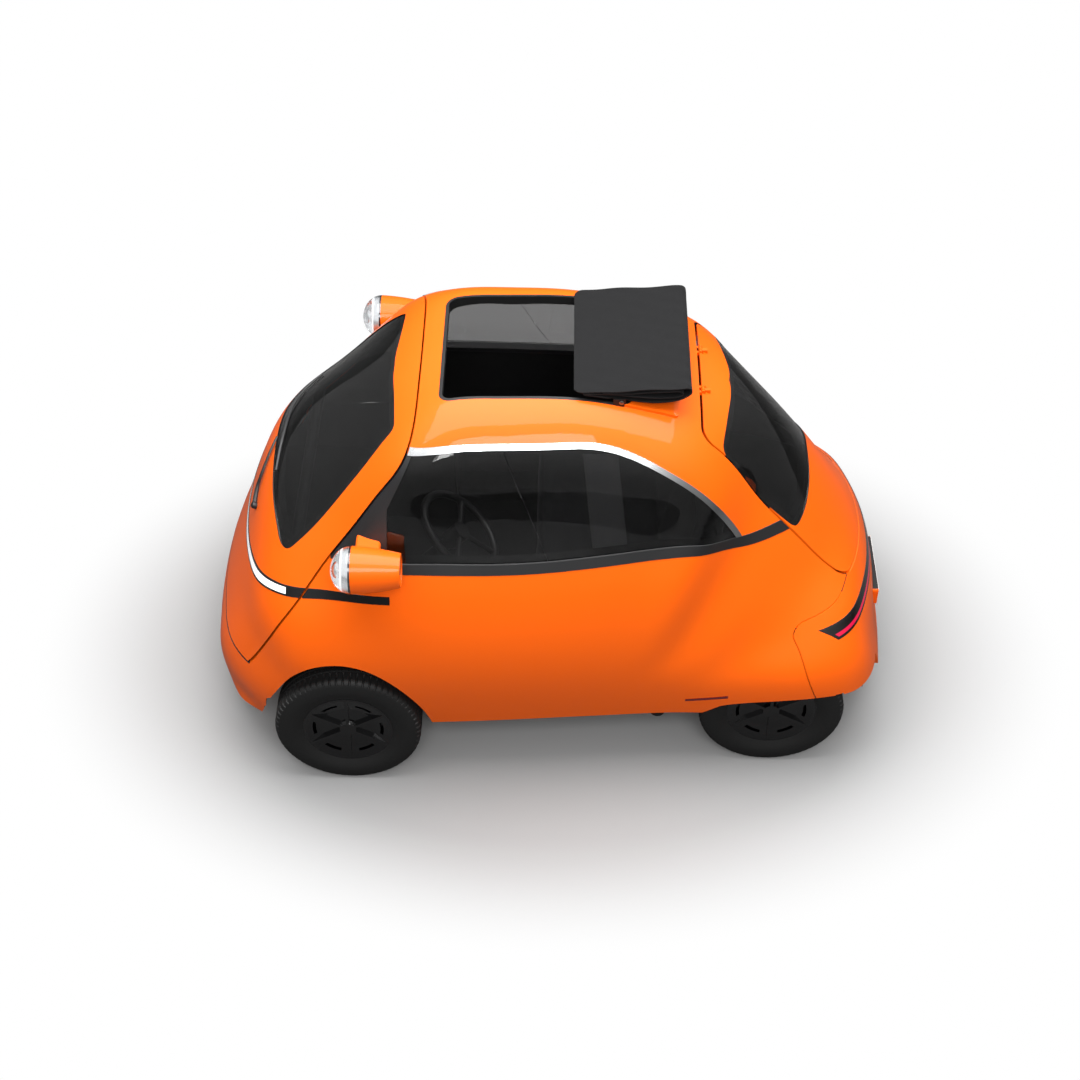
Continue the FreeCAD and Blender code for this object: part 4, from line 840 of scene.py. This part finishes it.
@dataclass
class Tyre:
    """Tyre with a moulded tread, in the form of the plain ring that it replaces."""

    radius: float = 0.2665
    half: float = 0.0725
    bead: float = 0.165
    groove_depth: float = 0.006
    pitches: int = 68
    steps: int = 8
    grooves: tuple[float, ...] = (-0.013, 0.013)
    groove_half: float = 0.0036
    groove_marks: tuple[float, ...] = (-1.5, -1.0, 1.0, 1.5)
    groove_ease: float = 1.05
    lug_marks: tuple[float, ...] = (-0.046, -0.036, -0.027, 0.027, 0.036, 0.046)
    lug_from: float = 0.0185
    lug_phases: tuple[int, ...] = (0, 1)
    sipe_to: float = 0.008
    sipe_phase: int = 3
    sipe_share: float = 0.8
    edge_room: float = 0.002
    tread_depth: float = 0.012
    wall_shares: tuple[tuple[float, float], ...] = (
        (0.80, 0.0), (1.0, 0.42), (0.96, 0.80), (0.84, 0.95), (0.70, 1.0))
    wall_steps: int = 4

    def section(self) -> list[tuple[float, float]]:
        """Half section of the side wall from the bead to the tread's edge, as places and radii.

        Returns:
            Places across the tyre and radii, in metres.
        """
        wall = self.radius - self.bead
        knots = [Vector((u * self.half, self.bead + v * wall, 0)) for u, v in self.wall_shares]
        return [(p.x, p.y) for p in smooth_path(knots, self.wall_steps)]

    def rows(self) -> list[tuple[float, float]]:
        """Whole section, from the inner bead over the tread to the outer bead.

        Returns:
            Places across the tyre and radii, in metres.
        """
        side = self.section()
        edge = side[-1][0]
        marks = {0.0, *self.lug_marks}
        for groove in self.grooves:
            for shift in self.groove_marks:
                marks.add(round(groove + shift * self.groove_half, 5))
        crown = sorted(m for m in marks if abs(m) < edge - self.edge_room)
        left = [(-u, r) for u, r in side]
        return left + [(m, self.radius) for m in crown] + list(reversed(side))

    def sunk(self, u: float, r: float, step: int) -> float:
        """Depth of the tread pattern at a place across the tread and round it.

        Args:
            u: Place across the tyre in metres.
            r: Radius at that place.
            step: Step round the tyre.

        Returns:
            How far the rubber lies below the radius, in metres.
        """
        if r < self.radius - self.tread_depth:
            return 0.0
        if any(abs(u - groove) <= self.groove_half * self.groove_ease for groove in self.grooves):
            return self.groove_depth
        shift = self.steps // 2 if u > 0 else 0
        phase = (step + shift) % self.steps
        if abs(u) > self.lug_from and phase in self.lug_phases:
            return self.groove_depth
        if abs(u) < self.sipe_to and phase == self.sipe_phase:
            return self.groove_depth * self.sipe_share
        return 0.0

    def build(self, corner: str) -> None:
        """Build the tyre of one corner in place of the plain ring.

        Args:
            corner: Corner of the car, as in the name of its tyre.
        """
        node = "tyre_" + corner
        centre = middle_of(node)
        rows = self.rows()
        count = self.pitches * self.steps
        points, faces = [], []
        for u, r in rows:
            for k in range(count):
                turn = math.tau * k / count
                out = r - self.sunk(u, r, k)
                points.append(centre + Vector((out * math.cos(turn), u, out * math.sin(turn))))
        for i in range(len(rows)):
            for k in range(count):
                a, b = i * count + k, i * count + (k + 1) % count
                base = (i + 1) % len(rows) * count
                faces.append([a, base + k, base + (k + 1) % count, b])
        obj = add_piece("tread_" + corner, points, faces, [Shade.TYRE], "wheel_" + corner)
        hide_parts(node)


@dataclass
class Wheels:
    """Tyres, wheel covers and the front and rear running gear."""

    corners: tuple[str, ...] = ("front_left", "front_right", "rear_left", "rear_right")

    def dress(self) -> None:
        """Build the tyres and finish what carries them."""
        for corner in self.corners:
            put_on(["rim_" + corner], Shade.COVER)
            Tyre().build(corner)
        put_on(["knuckle_left", "knuckle_right", "front_arms", "rear_axle"], Shade.IRON)
        put_on(["wheel_housings"], Shade.LINING)


@dataclass
class FoldedTop:
    """Cloth top folded in layers behind the roof opening, one long run of cloth."""

    half: float = 0.2885
    corner: float = 0.034
    front: float = 0.0715
    thickness: float = 0.0036
    across: int = 96
    crowding: float = 1.4
    steps: int = 5
    bracket: tuple[float, float] = (0.200, 0.266)
    bracket_top: float = 1.502
    bracket_half: float = 0.2845
    bolt: tuple[float, float, float] = (0.233, 0.2939, 1.488)
    bolt_head: tuple[tuple[float, float], ...] = (
        (0.0, 0.0085), (0.0012, 0.0085), (0.0022, 0.0070), (0.0026, NIB))
    bolt_sides: int = 24
    ripple: float = 0.0004
    edge_ripple: float = 0.0010
    rear_ripple: float = 0.0014
    rear_from: float = 0.36
    rear_length: float = 0.1
    rear_middle: float = 0.3
    layer_shift: float = 0.0012
    layer_turns: float = 31
    knots: tuple[tuple[float, float], ...] = (
        (0.074, 1.5155), (0.08, 1.519), (0.14, 1.524), (0.2, 1.5285), (0.27, 1.5335), (0.33, 1.538),
        (0.4, 1.5425), (0.44, 1.545), (0.457, 1.5435), (0.4665, 1.533), (0.4645, 1.5165),
        (0.446, 1.5035), (0.419, 1.4935), (0.375, 1.4885), (0.33, 1.486), (0.27, 1.4905), (0.2, 1.5005),
        (0.14, 1.5085), (0.112, 1.511), (0.106, 1.513), (0.112, 1.515), (0.16, 1.516), (0.22, 1.514),
        (0.3, 1.506), (0.36, 1.503), (0.41, 1.506), (0.432, 1.513), (0.44, 1.523), (0.43, 1.532),
        (0.41, 1.533), (0.35, 1.527), (0.28, 1.52), (0.21, 1.5205), (0.17, 1.52))

    def wrinkle(self, x: float, y: float, s: float) -> float:
        """Unevenness of the cloth in metres at a place along and across it.

        Args:
            x: Place along the car.
            y: Place across it.
            s: Length of the cloth up to this place.

        Returns:
            How far the cloth lies above or below its even run.
        """
        edge = (abs(y) / self.half) ** 4
        rear = max(0.0, (x - self.rear_from) / self.rear_length)
        # Two crossing waves and a finer one, in radians per metre across and along the cloth
        wave = math.sin(y * 41 + s * 9) * math.sin(y * 17 - s * 23) + 0.6 * math.sin(y * 93 + s * 37)
        rear *= self.rear_middle + edge
        return wave * (self.ripple + self.edge_ripple * edge + self.rear_ripple * rear)

    def half_at(self, x: float, z: float) -> float:
        """Half width of the stack, with its round front corners and room for the brackets.

        Args:
            x: Place along the car.
            z: Height.

        Returns:
            Half the width of the cloth there, in metres.
        """
        room = max(0.0, self.front + self.corner - x)
        cut = self.corner - math.sqrt(max(self.corner ** 2 - room ** 2, 0.0))
        half = self.half - cut
        if self.bracket[0] < x < self.bracket[1] and z < self.bracket_top:
            half = min(half, self.bracket_half)
        return half

    def build(self) -> None:
        """Sweep the folded run of cloth across the car."""
        path = smooth_path([Vector((x, 0, z)) for x, z in self.knots], self.steps)
        last = len(path) - 1
        run = [0.0]
        upper, lower = [], []
        for i, place in enumerate(path):
            if i:
                run.append(run[-1] + (place - path[i - 1]).length)
            way = (path[min(i + 1, last)] - path[max(i - 1, 0)]).normalized()
            off = Vector((way.z, 0, -way.x)) * self.thickness / 2
            upper.append((place, off, run[i]))
            lower.append((place, -off, run[i]))
        loop = upper + lower[::-1]
        points, faces = [], []
        for j in range(self.across + 1):
            share = 2 * j / self.across - 1
            share = math.copysign(1 - (1 - abs(share)) ** self.crowding, share)
            for middle, off, s in loop:
                half = self.half_at(middle.x, middle.z)
                half -= self.layer_shift * (1 + math.sin(s * self.layer_turns))
                lift = self.wrinkle(middle.x, share * half, s)
                points.append(Vector((middle.x, share * half, middle.z + lift)) + off)
        count = len(loop)
        for j in range(self.across):
            for k in range(count):
                a, b = j * count + k, j * count + (k + 1) % count
                faces.append([a, b, b + count, a + count])
        for j, flip in ((0, False), (self.across, True)):
            base = j * count
            for i in range(last):
                quad = [base + i, base + i + 1, base + count - 2 - i, base + count - 1 - i]
                faces.append(quad if flip else quad[::-1])
        obj = add_piece("folded_top_cloth", points, faces, [Shade.CLOTH], "body")
        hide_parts("folded_cloth")
        LOG.info("folded top: %.3f m of cloth", run[-1])

    def bolts(self) -> None:
        """Bright bolt on each bracket beside the stack."""
        x, y, z = self.bolt
        for side, name in SIDES:
            head = lathe(self.bolt_head, Vector((x, side * y, z)), Vector((0, side, 0)), self.bolt_sides)
            add_piece("bracket_bolt_" + name, *head, [Shade.STEEL], "body")


@dataclass
class Pad:
    """Upholstered pad that fills the place of a plain solid."""

    node: str
    inset: float = 0.006
    count: int = 26
    panels: int = 4
    seam: float = 0.006
    fill: float = 0.8
    round_from: float = 0.72
    flat_share: float = 0.35
    stitch_width: float = 0.10
    stitch_to: float = 0.9

    def build(self) -> None:
        """Wrap a rounded, stitched skin over the plain solid and keep it inside."""
        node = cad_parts[self.node]
        tree = tree_of(self.node)
        shapes = []
        for group in islands(node.data):
            corners = [node.matrix_world @ node.data.vertices[v].co for k in group
                       for v in node.data.polygons[k].vertices]
            lo = Vector([min(c[i] for c in corners) for i in range(3)])
            hi = Vector([max(c[i] for c in corners) for i in range(3)])
            shapes.append(self.wrap(lo, hi, tree))
        obj = add_piece(self.node + "_cover", *joined(*shapes), [Shade.SEAT], "body")
        smooth = obj.modifiers.new("soft", "SUBSURF")
        smooth.levels = 1
        smooth.render_levels = 1
        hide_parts(self.node)

    def wrap(self, lo: Vector, hi: Vector, tree: BVHTree) -> tuple[list[Vector], list[list[int]]]:
        """Shell over one solid, from six grids drawn in onto it.

        Args:
            lo: Lowest corner of the solid.
            hi: Highest corner of the solid.
            tree: Search tree over the faces of the solids.

        Returns:
            Points and faces of the shell.
        """
        centre = (lo + hi) / 2
        size = (hi - lo) / 2
        points: list[Vector] = []
        index: dict[tuple[int, int, int], int] = {}
        faces: list[list[int]] = []
        n = self.count

        def corner(i: int, j: int, k: int) -> int:
            """Number of the point at a place of the grids, made once.

            Args:
                i: Step along the car.
                j: Step across it.
                k: Step up.

            Returns:
                Its number in the list of points.
            """
            key = (i, j, k)
            if key not in index:
                index[key] = len(points)
                way = Vector((2 * i / n - 1, 2 * j / n - 1, 2 * k / n - 1))
                points.append(self.place(centre, size, way, tree))
            return index[key]

        for a in range(n):
            for b in range(n):
                for end in (0, n):
                    quads = [[(end, a, b), (end, a + 1, b), (end, a + 1, b + 1), (end, a, b + 1)],
                             [(a, end, b), (a, end, b + 1), (a + 1, end, b + 1), (a + 1, end, b)],
                             [(a, b, end), (a + 1, b, end), (a + 1, b + 1, end), (a, b + 1, end)]]
                    for quad in quads:
                        face = [corner(*key) for key in quad]
                        faces.append(face if end else face[::-1])
        return points, faces

    def place(self, centre: Vector, size: Vector, way: Vector, tree: BVHTree) -> Vector:
        """Where one point of the shell rests on the solid, sunk along the seams.

        Args:
            centre: Middle of the solid.
            size: Half its size along each axis.
            way: Place of the point in shares of that half size.
            tree: Search tree over the faces.

        Returns:
            The point on the shell.
        """
        target = centre + Vector([way[i] * size[i] for i in range(3)])
        near, normal, _, _ = tree.find_nearest(target)
        edge = sorted(abs(way[i]) for i in range(3))
        round_off = max(0.0, edge[1] - self.round_from) / (1 - self.round_from)
        sink = self.inset * (self.flat_share + round_off ** 2)
        row = abs(way[1] * self.panels / 2 % 1.0 - 0.5) * 2
        stitch = math.exp(-((1 - row) / self.stitch_width) ** 2) if edge[1] < self.stitch_to else 0.0
        return near - normal * (sink + self.seam * stitch)


@dataclass
class Cabin:
    """Seats, floor and what lies below the floor."""

    def dress(self) -> None:
        """Cover the seats and finish the rest."""
        put_on(["floor_pan", "parcel_shelf", "seat_frame"], Shade.LINING)
        put_on(["battery", "motor"], Shade.ALLOY)
        put_on(["seat_cushion", "seat_back", "headrests"], Shade.SEAT)
        for pad in (Pad("seat_cushion"), Pad("seat_back"),
                    Pad("headrests", inset=0.004, count=14, panels=1, seam=0.0)):
            pad.build()


@dataclass
class Fittings:
    """Wiper, blank number plate and small trim on the skin."""

    arm: tuple[tuple[float, float, float], ...] = (
        (-1.079, -0.183, 0.893), (-1.071, -0.130, 0.929), (-1.052, -0.102, 0.976), (-1.024, -0.049, 1.031),
        (-1.000, 0.000, 1.064))
    blade: tuple[tuple[float, float, float], ...] = (
        (-0.988, -0.162, 1.046), (-0.977, -0.038, 1.080), (-0.961, 0.148, 1.079), (-0.920, 0.255, 1.082),
        (-0.863, 0.308, 1.106))
    trim: tuple[tuple[tuple[float, float, float], ...], ...] = (
        ((0.105, -0.408, 1.353), (0.115, -0.440, 1.268), (0.125, -0.470, 1.180), (0.135, -0.506, 1.097),
         (0.146, -0.546, 1.012)),
        ((0.163, -0.405, 1.351), (0.173, -0.436, 1.265), (0.183, -0.466, 1.177), (0.194, -0.502, 1.094),
         (0.204, -0.542, 1.008)),
        ((0.223, -0.401, 1.348), (0.234, -0.431, 1.262), (0.245, -0.461, 1.174), (0.256, -0.497, 1.090),
         (0.267, -0.537, 1.005)))
    trim_thickness: float = 0.006
    arm_radii: tuple[float, float] = (0.0085, 0.0045)
    blade_radii: tuple[float, float] = (0.0035, 0.003)
    lip_shift: tuple[float, float, float] = (0.003, 0.0, -0.003)
    lip_radius: float = 0.0018
    cap: tuple[tuple[float, float], ...] = ((-0.010, 0.013), (0.004, 0.013), (0.009, 0.010), (0.011, NIB))
    cap_axis: tuple[float, float, float] = (-0.80, -0.15, 0.58)
    plate_back: float = 1.2392
    plate_thickness: float = 0.0012
    plate_z: float = 0.420
    plate_half: float = 0.150
    plate_half_height: float = 0.040

    def build(self) -> None:
        """Add the small pieces."""
        self.plate()
        self.wiper()
        self.pillar_trim()

    def wiper(self) -> None:
        """Single wiper on the windscreen: spindle cap, bowed arm and rubber blade."""
        arm = smooth_path([Vector(p) for p in self.arm], 5)
        foot, taper = self.arm_radii
        radii = [foot - taper * i / (len(arm) - 1) for i in range(len(arm))]
        blade = smooth_path([Vector(p) for p in self.blade], 6)
        end, swell = self.blade_radii
        width = [end + swell * math.sin(math.pi * i / (len(blade) - 1)) for i in range(len(blade))]
        lip = [p + Vector(self.lip_shift) for p in blade]
        out = Vector(self.cap_axis).normalized()
        shapes = [tube(arm, radii, 10, 0.6), tube(blade, width, 8, 0.7),
                  tube(lip, [self.lip_radius] * len(lip), 6), lathe(self.cap, arm[0], out, 24)]
        add_piece("wiper", *joined(*shapes), [Shade.TRIM], "front_door")

    def pillar_trim(self) -> None:
        """Grey inner trim of the pillar behind each front pane."""
        for side, name in SIDES:
            rows = [[Vector((x, -side * y, z)) for x, y, z in row] for row in self.trim]
            points = [p for row in rows for p in row]
            points += [Vector((p.x, p.y - side * self.trim_thickness, p.z)) for p in points]
            high, wide = len(rows[0]), len(rows)
            base = high * wide
            faces = []
            for a in range(wide - 1):
                for b in range(high - 1):
                    quad = [a * high + b, a * high + b + 1, (a + 1) * high + b + 1, (a + 1) * high + b]
                    faces += [quad, [base + k for k in reversed(quad)]]
            rim = ([b for b in range(high)] + [a * high + high - 1 for a in range(1, wide)]
                   + [(wide - 1) * high + b for b in range(high - 2, -1, -1)]
                   + [a * high for a in range(wide - 2, 0, -1)])
            for k, first in enumerate(rim):
                second = rim[(k + 1) % len(rim)]
                faces.append([first, base + first, base + second, second])
            add_piece("pillar_trim_" + name, points, faces, [Shade.PILLAR], "body")

    def plate(self) -> None:
        """Blank plate on the pad at the tail."""
        half, height = self.plate_half, self.plate_half_height
        outline = [(-half, -height), (half, -height), (half, height), (-half, height)]
        points = [Vector((self.plate_back + out, y, self.plate_z + rise))
                  for out in (0.0, self.plate_thickness) for y, rise in outline]
        faces = [[3, 2, 1, 0], [4, 5, 6, 7], [0, 1, 5, 4], [1, 2, 6, 5], [2, 3, 7, 6], [3, 0, 4, 7]]
        add_piece("number_plate_blank", points, faces, [Shade.PLATE], "body", smooth=False)


# Studio

@dataclass(frozen=True)
class Lamp:
    """Soft rectangular lamp that faces a point."""

    name: str
    place: tuple[float, float, float]
    aim: tuple[float, float, float]
    size: tuple[float, float]
    watts: float

    def hang(self) -> None:
        """Add the lamp to the scene."""
        data = bpy.data.lights.new(self.name, "AREA")
        data.shape = "RECTANGLE"
        data.size, data.size_y = self.size
        data.energy = self.watts
        obj = bpy.data.objects.new(self.name, data)
        obj.location = self.place
        obj.rotation_euler = (Vector(self.aim) - Vector(self.place)).to_track_quat("-Z", "Y").to_euler()
        bpy.context.scene.collection.objects.link(obj)


@dataclass
class Studio:
    """Camera, floor and lights."""

    eye: tuple[float, float, float] = (0.0278, -5.2929, 5.6826)
    yaw: float = -0.01367
    pitch: float = 0.76936
    roll: float = 0.00239
    focal_px: float = 1934.44
    frame_px: float = 1080.0
    sensor_mm: float = 36.0
    horizon: float = 0.10
    zenith: float = 1.1
    floor_seen: float = 0.34
    floor_bounce: float = 0.22
    fade_start: float = 0.98
    fade_end: float = 1.50
    fade_stretch: float = 1.38
    floor_reach: float = 30.0
    floor_roughness: float = 0.9
    glint_share: float = 1 / 3
    view_end: float = 100.0
    lamps: tuple[Lamp, ...] = (
        Lamp("key_top", (0.0, 0.2, 4.6), (0.0, 0.0, 0.8), (5.0, 3.8), 345.0),
        Lamp("fill_side", (0.4, -6.0, 6.6), (0.0, 0.0, 0.6), (4.0, 2.4), 330.0))

    def camera(self) -> None:
        """Set the camera up as the photograph was taken."""
        data = bpy.data.cameras.new("camera")
        data.sensor_width = self.sensor_mm
        data.lens = self.focal_px / self.frame_px * self.sensor_mm
        data.clip_end = self.view_end
        look = Vector((math.sin(self.yaw) * math.cos(self.pitch), math.cos(self.yaw) * math.cos(self.pitch),
                       -math.sin(self.pitch)))
        right = Vector((math.cos(self.yaw), -math.sin(self.yaw), 0.0))
        up = right.cross(look)
        turn = Matrix.Rotation(-self.roll, 3, look)
        right = turn @ right
        up = turn @ up
        rotation = Matrix((right, up, -look)).transposed().to_4x4()
        obj = bpy.data.objects.new("camera", data)
        obj.matrix_world = Matrix.Translation(self.eye) @ rotation
        bpy.context.scene.collection.objects.link(obj)
        bpy.context.scene.camera = obj

    def world(self) -> None:
        """White surroundings to the eye and through glass; elsewhere a soft light that grows from the horizon
        to the zenith.
        """
        world = bpy.data.worlds.new("studio")
        bpy.context.scene.world = world
        world.use_nodes = True
        tree = world.node_tree
        tree.nodes.clear()
        seen = looked_at(tree)[1]
        place = add_node(tree, "ShaderNodeTexCoord")
        height = add_node(tree, "ShaderNodeSeparateXYZ", None, {0: place.outputs["Generated"]})
        rise = add_node(tree, "ShaderNodeMapRange", {"To Min": self.horizon, "To Max": self.zenith,
                                                     "interpolation_type": "SMOOTHSTEP"},
                        {"Value": height.outputs["Z"]})
        soft = add_node(tree, "ShaderNodeBackground", {"Color": linear("#FFFFFF")},
                        {"Strength": rise.outputs["Result"]})
        white = add_node(tree, "ShaderNodeBackground", {"Color": linear("#FFFFFF"), "Strength": 1.0})
        mix = add_node(tree, "ShaderNodeMixShader", None, {
            0: seen, 1: soft.outputs["Background"], 2: white.outputs["Background"]})
        out = add_node(tree, "ShaderNodeOutputWorld")
        tree.links.new(mix.outputs["Shader"], out.inputs["Surface"])

    def floor(self) -> None:
        """Pale floor that keeps the car's shadow and fades to white."""
        mesh = bpy.data.meshes.new("floor")
        reach = self.floor_reach
        mesh.from_pydata([(-reach, -reach, 0), (reach, -reach, 0), (reach, reach, 0), (-reach, reach, 0)], [],
                         [(0, 1, 2, 3)])
        obj = bpy.data.objects.new("floor", mesh)
        bpy.context.scene.collection.objects.link(obj)
        material, tree, shader = new_material("studio_floor_matt_painted")
        set_inputs(shader, {"Roughness": self.floor_roughness, "Specular IOR Level": 0.0})
        path, looked = looked_at(tree)
        glint = add_node(tree, "ShaderNodeMapRange", {"To Min": self.floor_bounce,
                                                      "To Max": self.floor_bounce * self.glint_share},
                         {"Value": path.outputs["Is Glossy Ray"]})
        tone = add_node(tree, "ShaderNodeMapRange", {"To Max": self.floor_seen},
                        {"Value": looked, "To Min": glint.outputs["Result"]})
        tree.links.new(tone.outputs["Result"], shader.inputs["Base Color"])
        squeeze = (1 / self.fade_stretch, 1.0, 1.0)
        flat = add_node(tree, "ShaderNodeVectorMath", {"operation": "MULTIPLY", 1: squeeze},
                        {0: place_vector(tree)})
        away = add_node(tree, "ShaderNodeVectorMath", {"operation": "LENGTH"}, {0: flat.outputs["Vector"]})
        fade = add_node(tree, "ShaderNodeMapRange", {"From Min": self.fade_start, "From Max": self.fade_end,
                                                     "interpolation_type": "SMOOTHSTEP"},
                        {"Value": away.outputs["Value"]})
        seen = add_node(tree, "ShaderNodeMath", {"operation": "MULTIPLY"},
                        {0: path.outputs["Is Camera Ray"], 1: fade.outputs["Result"]})
        white = add_node(tree, "ShaderNodeEmission", {"Color": linear("#FFFFFF"), "Strength": 1.0})
        mix = add_node(tree, "ShaderNodeMixShader", None, {
            0: seen.outputs["Value"], 1: shader.outputs["BSDF"], 2: white.outputs["Emission"]})
        out = tree.nodes["Material Output"]
        tree.links.new(mix.outputs["Shader"], out.inputs["Surface"])
        mesh.materials.append(material)

    def build(self) -> None:
        """Set up the whole studio."""
        self.camera()
        self.world()
        self.floor()
        for lamp in self.lamps:
            lamp.hang()
        bpy.context.scene.view_settings.view_transform = "Standard"
        LOG.info("studio ready")


def main() -> None:
    """Dress the car and set the studio up."""
    logging.basicConfig(level=logging.INFO, format="%(message)s")
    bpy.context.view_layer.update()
    Body().dress()
    Trim().dress()
    Pods().dress()
    Wheels().dress()
    top = FoldedTop()
    top.build()
    top.bolts()
    Cabin().dress()
    Fittings().build()
    Studio().build()
    bpy.context.view_layer.update()


if __name__ == "__main__":
    main()
